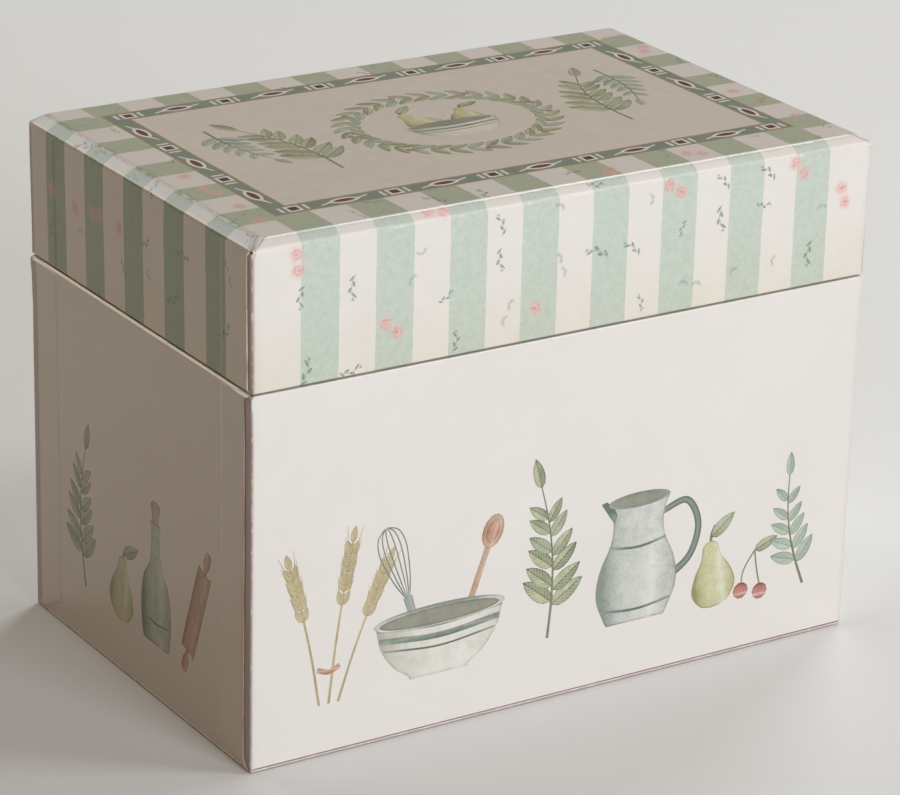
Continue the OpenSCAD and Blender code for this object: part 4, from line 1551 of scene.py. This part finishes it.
# Recipe cards: white index card, ruled in pale blue under one red line, seven in each bunch.


def card_stock():
    material, tree, at, shader = surface("card_stock", roughness=0.7)
    split = place(tree, "SeparateXYZ", {"Vector": at})
    height = (out(tree, split, "Z") / MM) - 3.4
    rules = height.wrapped(6.35).below(0.16, 0.05) * height.below(84.0, 0.1)
    head = (height - 88.0).through("ABSOLUTE").below(0.2, 0.05)
    specks = clouds(tree, at, 0.7, 4.0)
    white = tinted(tree, specks, rgb("f4f1ea"), rgb("ebe6db"))
    ruled = tinted(tree, rules * 0.55, white, rgb("9fb6c9"))
    wire(tree, tinted(tree, head * 0.6, ruled, rgb("cf8f86")), shader.inputs["Base Color"])
    bump = place(tree, "Bump", {"Height": specks, "Strength": 0.3, "Distance": 0.00006})
    wire(tree, out(tree, bump, "Normal"), shader.inputs["Normal"])
    return material


card_finish = card_stock()
for k in range(1, 6):
    dress(f"cards_{k}", card_finish)

# Stage: a pale floor that sweeps up into a backdrop, soft lamps and the camera. None of it is
# part of the box.


def stage():
    mesh = bpy.data.meshes.new("floor")
    radius, reach, wide = 0.6, 1.6, 4.0
    section = [(-4.0, 0.0), (reach, 0.0)]
    section += [(reach + radius * math.sin(a), radius * (1 - math.cos(a)))
                for a in [math.pi / 2 * i / 16 for i in range(1, 17)]]
    section.append((reach + radius, 4.0))
    points = [(x, y, z) for x in (-wide, wide) for y, z in section]
    n = len(section)
    mesh.from_pydata(points, [], [(i, i + 1, n + i + 1, n + i) for i in range(n - 1)])
    mesh.shade_smooth()
    floor = bpy.data.objects.new("floor", mesh)
    bpy.context.scene.collection.objects.link(floor)
    material, tree, at, shader = surface("floor_card", roughness=0.75)
    ray = place(tree, "LightPath")
    seen = out(tree, ray, "Is Camera Ray").at_least(out(tree, ray, "Is Glossy Ray"))
    seen = seen.at_least(out(tree, ray, "Is Transmission Ray"))
    pale = tinted(tree, clouds(tree, at, 400.0, 2.0), rgb("f3f5f7"), rgb("ecedef"))
    wire(tree, tinted(tree, seen, rgb("a8a39c"), pale), shader.inputs["Base Color"])
    mesh.materials.append(material)


def lamp(name, place_at, aim, size, watts, colour="ffffff"):
    data = bpy.data.lights.new(name, "AREA")
    data.shape = "RECTANGLE"
    data.size, data.size_y = size
    data.energy = watts
    data.color = rgb(colour)[:3]
    light = bpy.data.objects.new(name, data)
    light.location = place_at
    light.rotation_euler = (Vector(aim) - Vector(place_at)).to_track_quat("-Z", "Y").to_euler()
    bpy.context.scene.collection.objects.link(light)


def studio():
    middle = (0, 0, 0.06)
    lamp("key", (0.1, -1.8, 0.3), middle, (0.9, 1.0), 30.6, "eef7ff")
    lamp("top", (0.72, 0.5, 1.15), middle, (0.4, 0.4), 5.1, "f8ffff")
    lamp("back", (-0.22, 1.15, 0.9), middle, (0.5, 0.4), 1.8, "daf6ff")
    lamp("rim", (-0.52, 1.1, 0.76), middle, (0.35, 0.4), 2.6, "fff0e0")
    lamp("edge", (0.7, -0.6, 1.1), middle, (0.3, 0.3), 3.5, "ffffff")
    lamp("side", (1.6, -0.1, 0.25), middle, (0.3, 0.6), 10.0, "ffffff")
    world = bpy.data.worlds.new("studio")
    bpy.context.scene.world = world
    world.use_nodes = True
    sky = world.node_tree.nodes["Background"]
    sky.inputs["Color"].default_value = rgb("ffc468")
    sky.inputs["Strength"].default_value = 0.135


def camera():
    """The photograph's viewing angle, in degrees and millimetres."""
    azimuth, elevation, roll = map(math.radians, (-32.58, 21.23, 1.42))
    distance, focal_pixels, picture_width = 937.3, 3855.6, 900.0
    target = Vector((1.83, 0.0, 57.15))
    back = Vector((math.sin(azimuth) * math.cos(elevation),
                   -math.cos(azimuth) * math.cos(elevation), math.sin(elevation)))
    data = bpy.data.cameras.new("camera")
    data.sensor_width = 36.0
    data.lens = data.sensor_width * focal_pixels / picture_width
    data.clip_start, data.clip_end = 0.01, 20.0
    view = bpy.data.objects.new("camera", data)
    turn = (-back).to_track_quat("-Z", "Y").to_matrix()
    right, up = turn.col[0].copy(), turn.col[1].copy()
    tilted_right = math.cos(roll) * right + math.sin(roll) * up
    tilted_up = math.cos(roll) * up - math.sin(roll) * right
    for row in range(3):
        turn[row] = (tilted_right[row], tilted_up[row], back[row])
    view.matrix_world = turn.to_4x4()
    view.location = (target + back * distance) * MM
    bpy.context.scene.collection.objects.link(view)
    bpy.context.scene.camera = view


stage()
studio()
camera()
bpy.context.scene.view_settings.view_transform = "Standard"
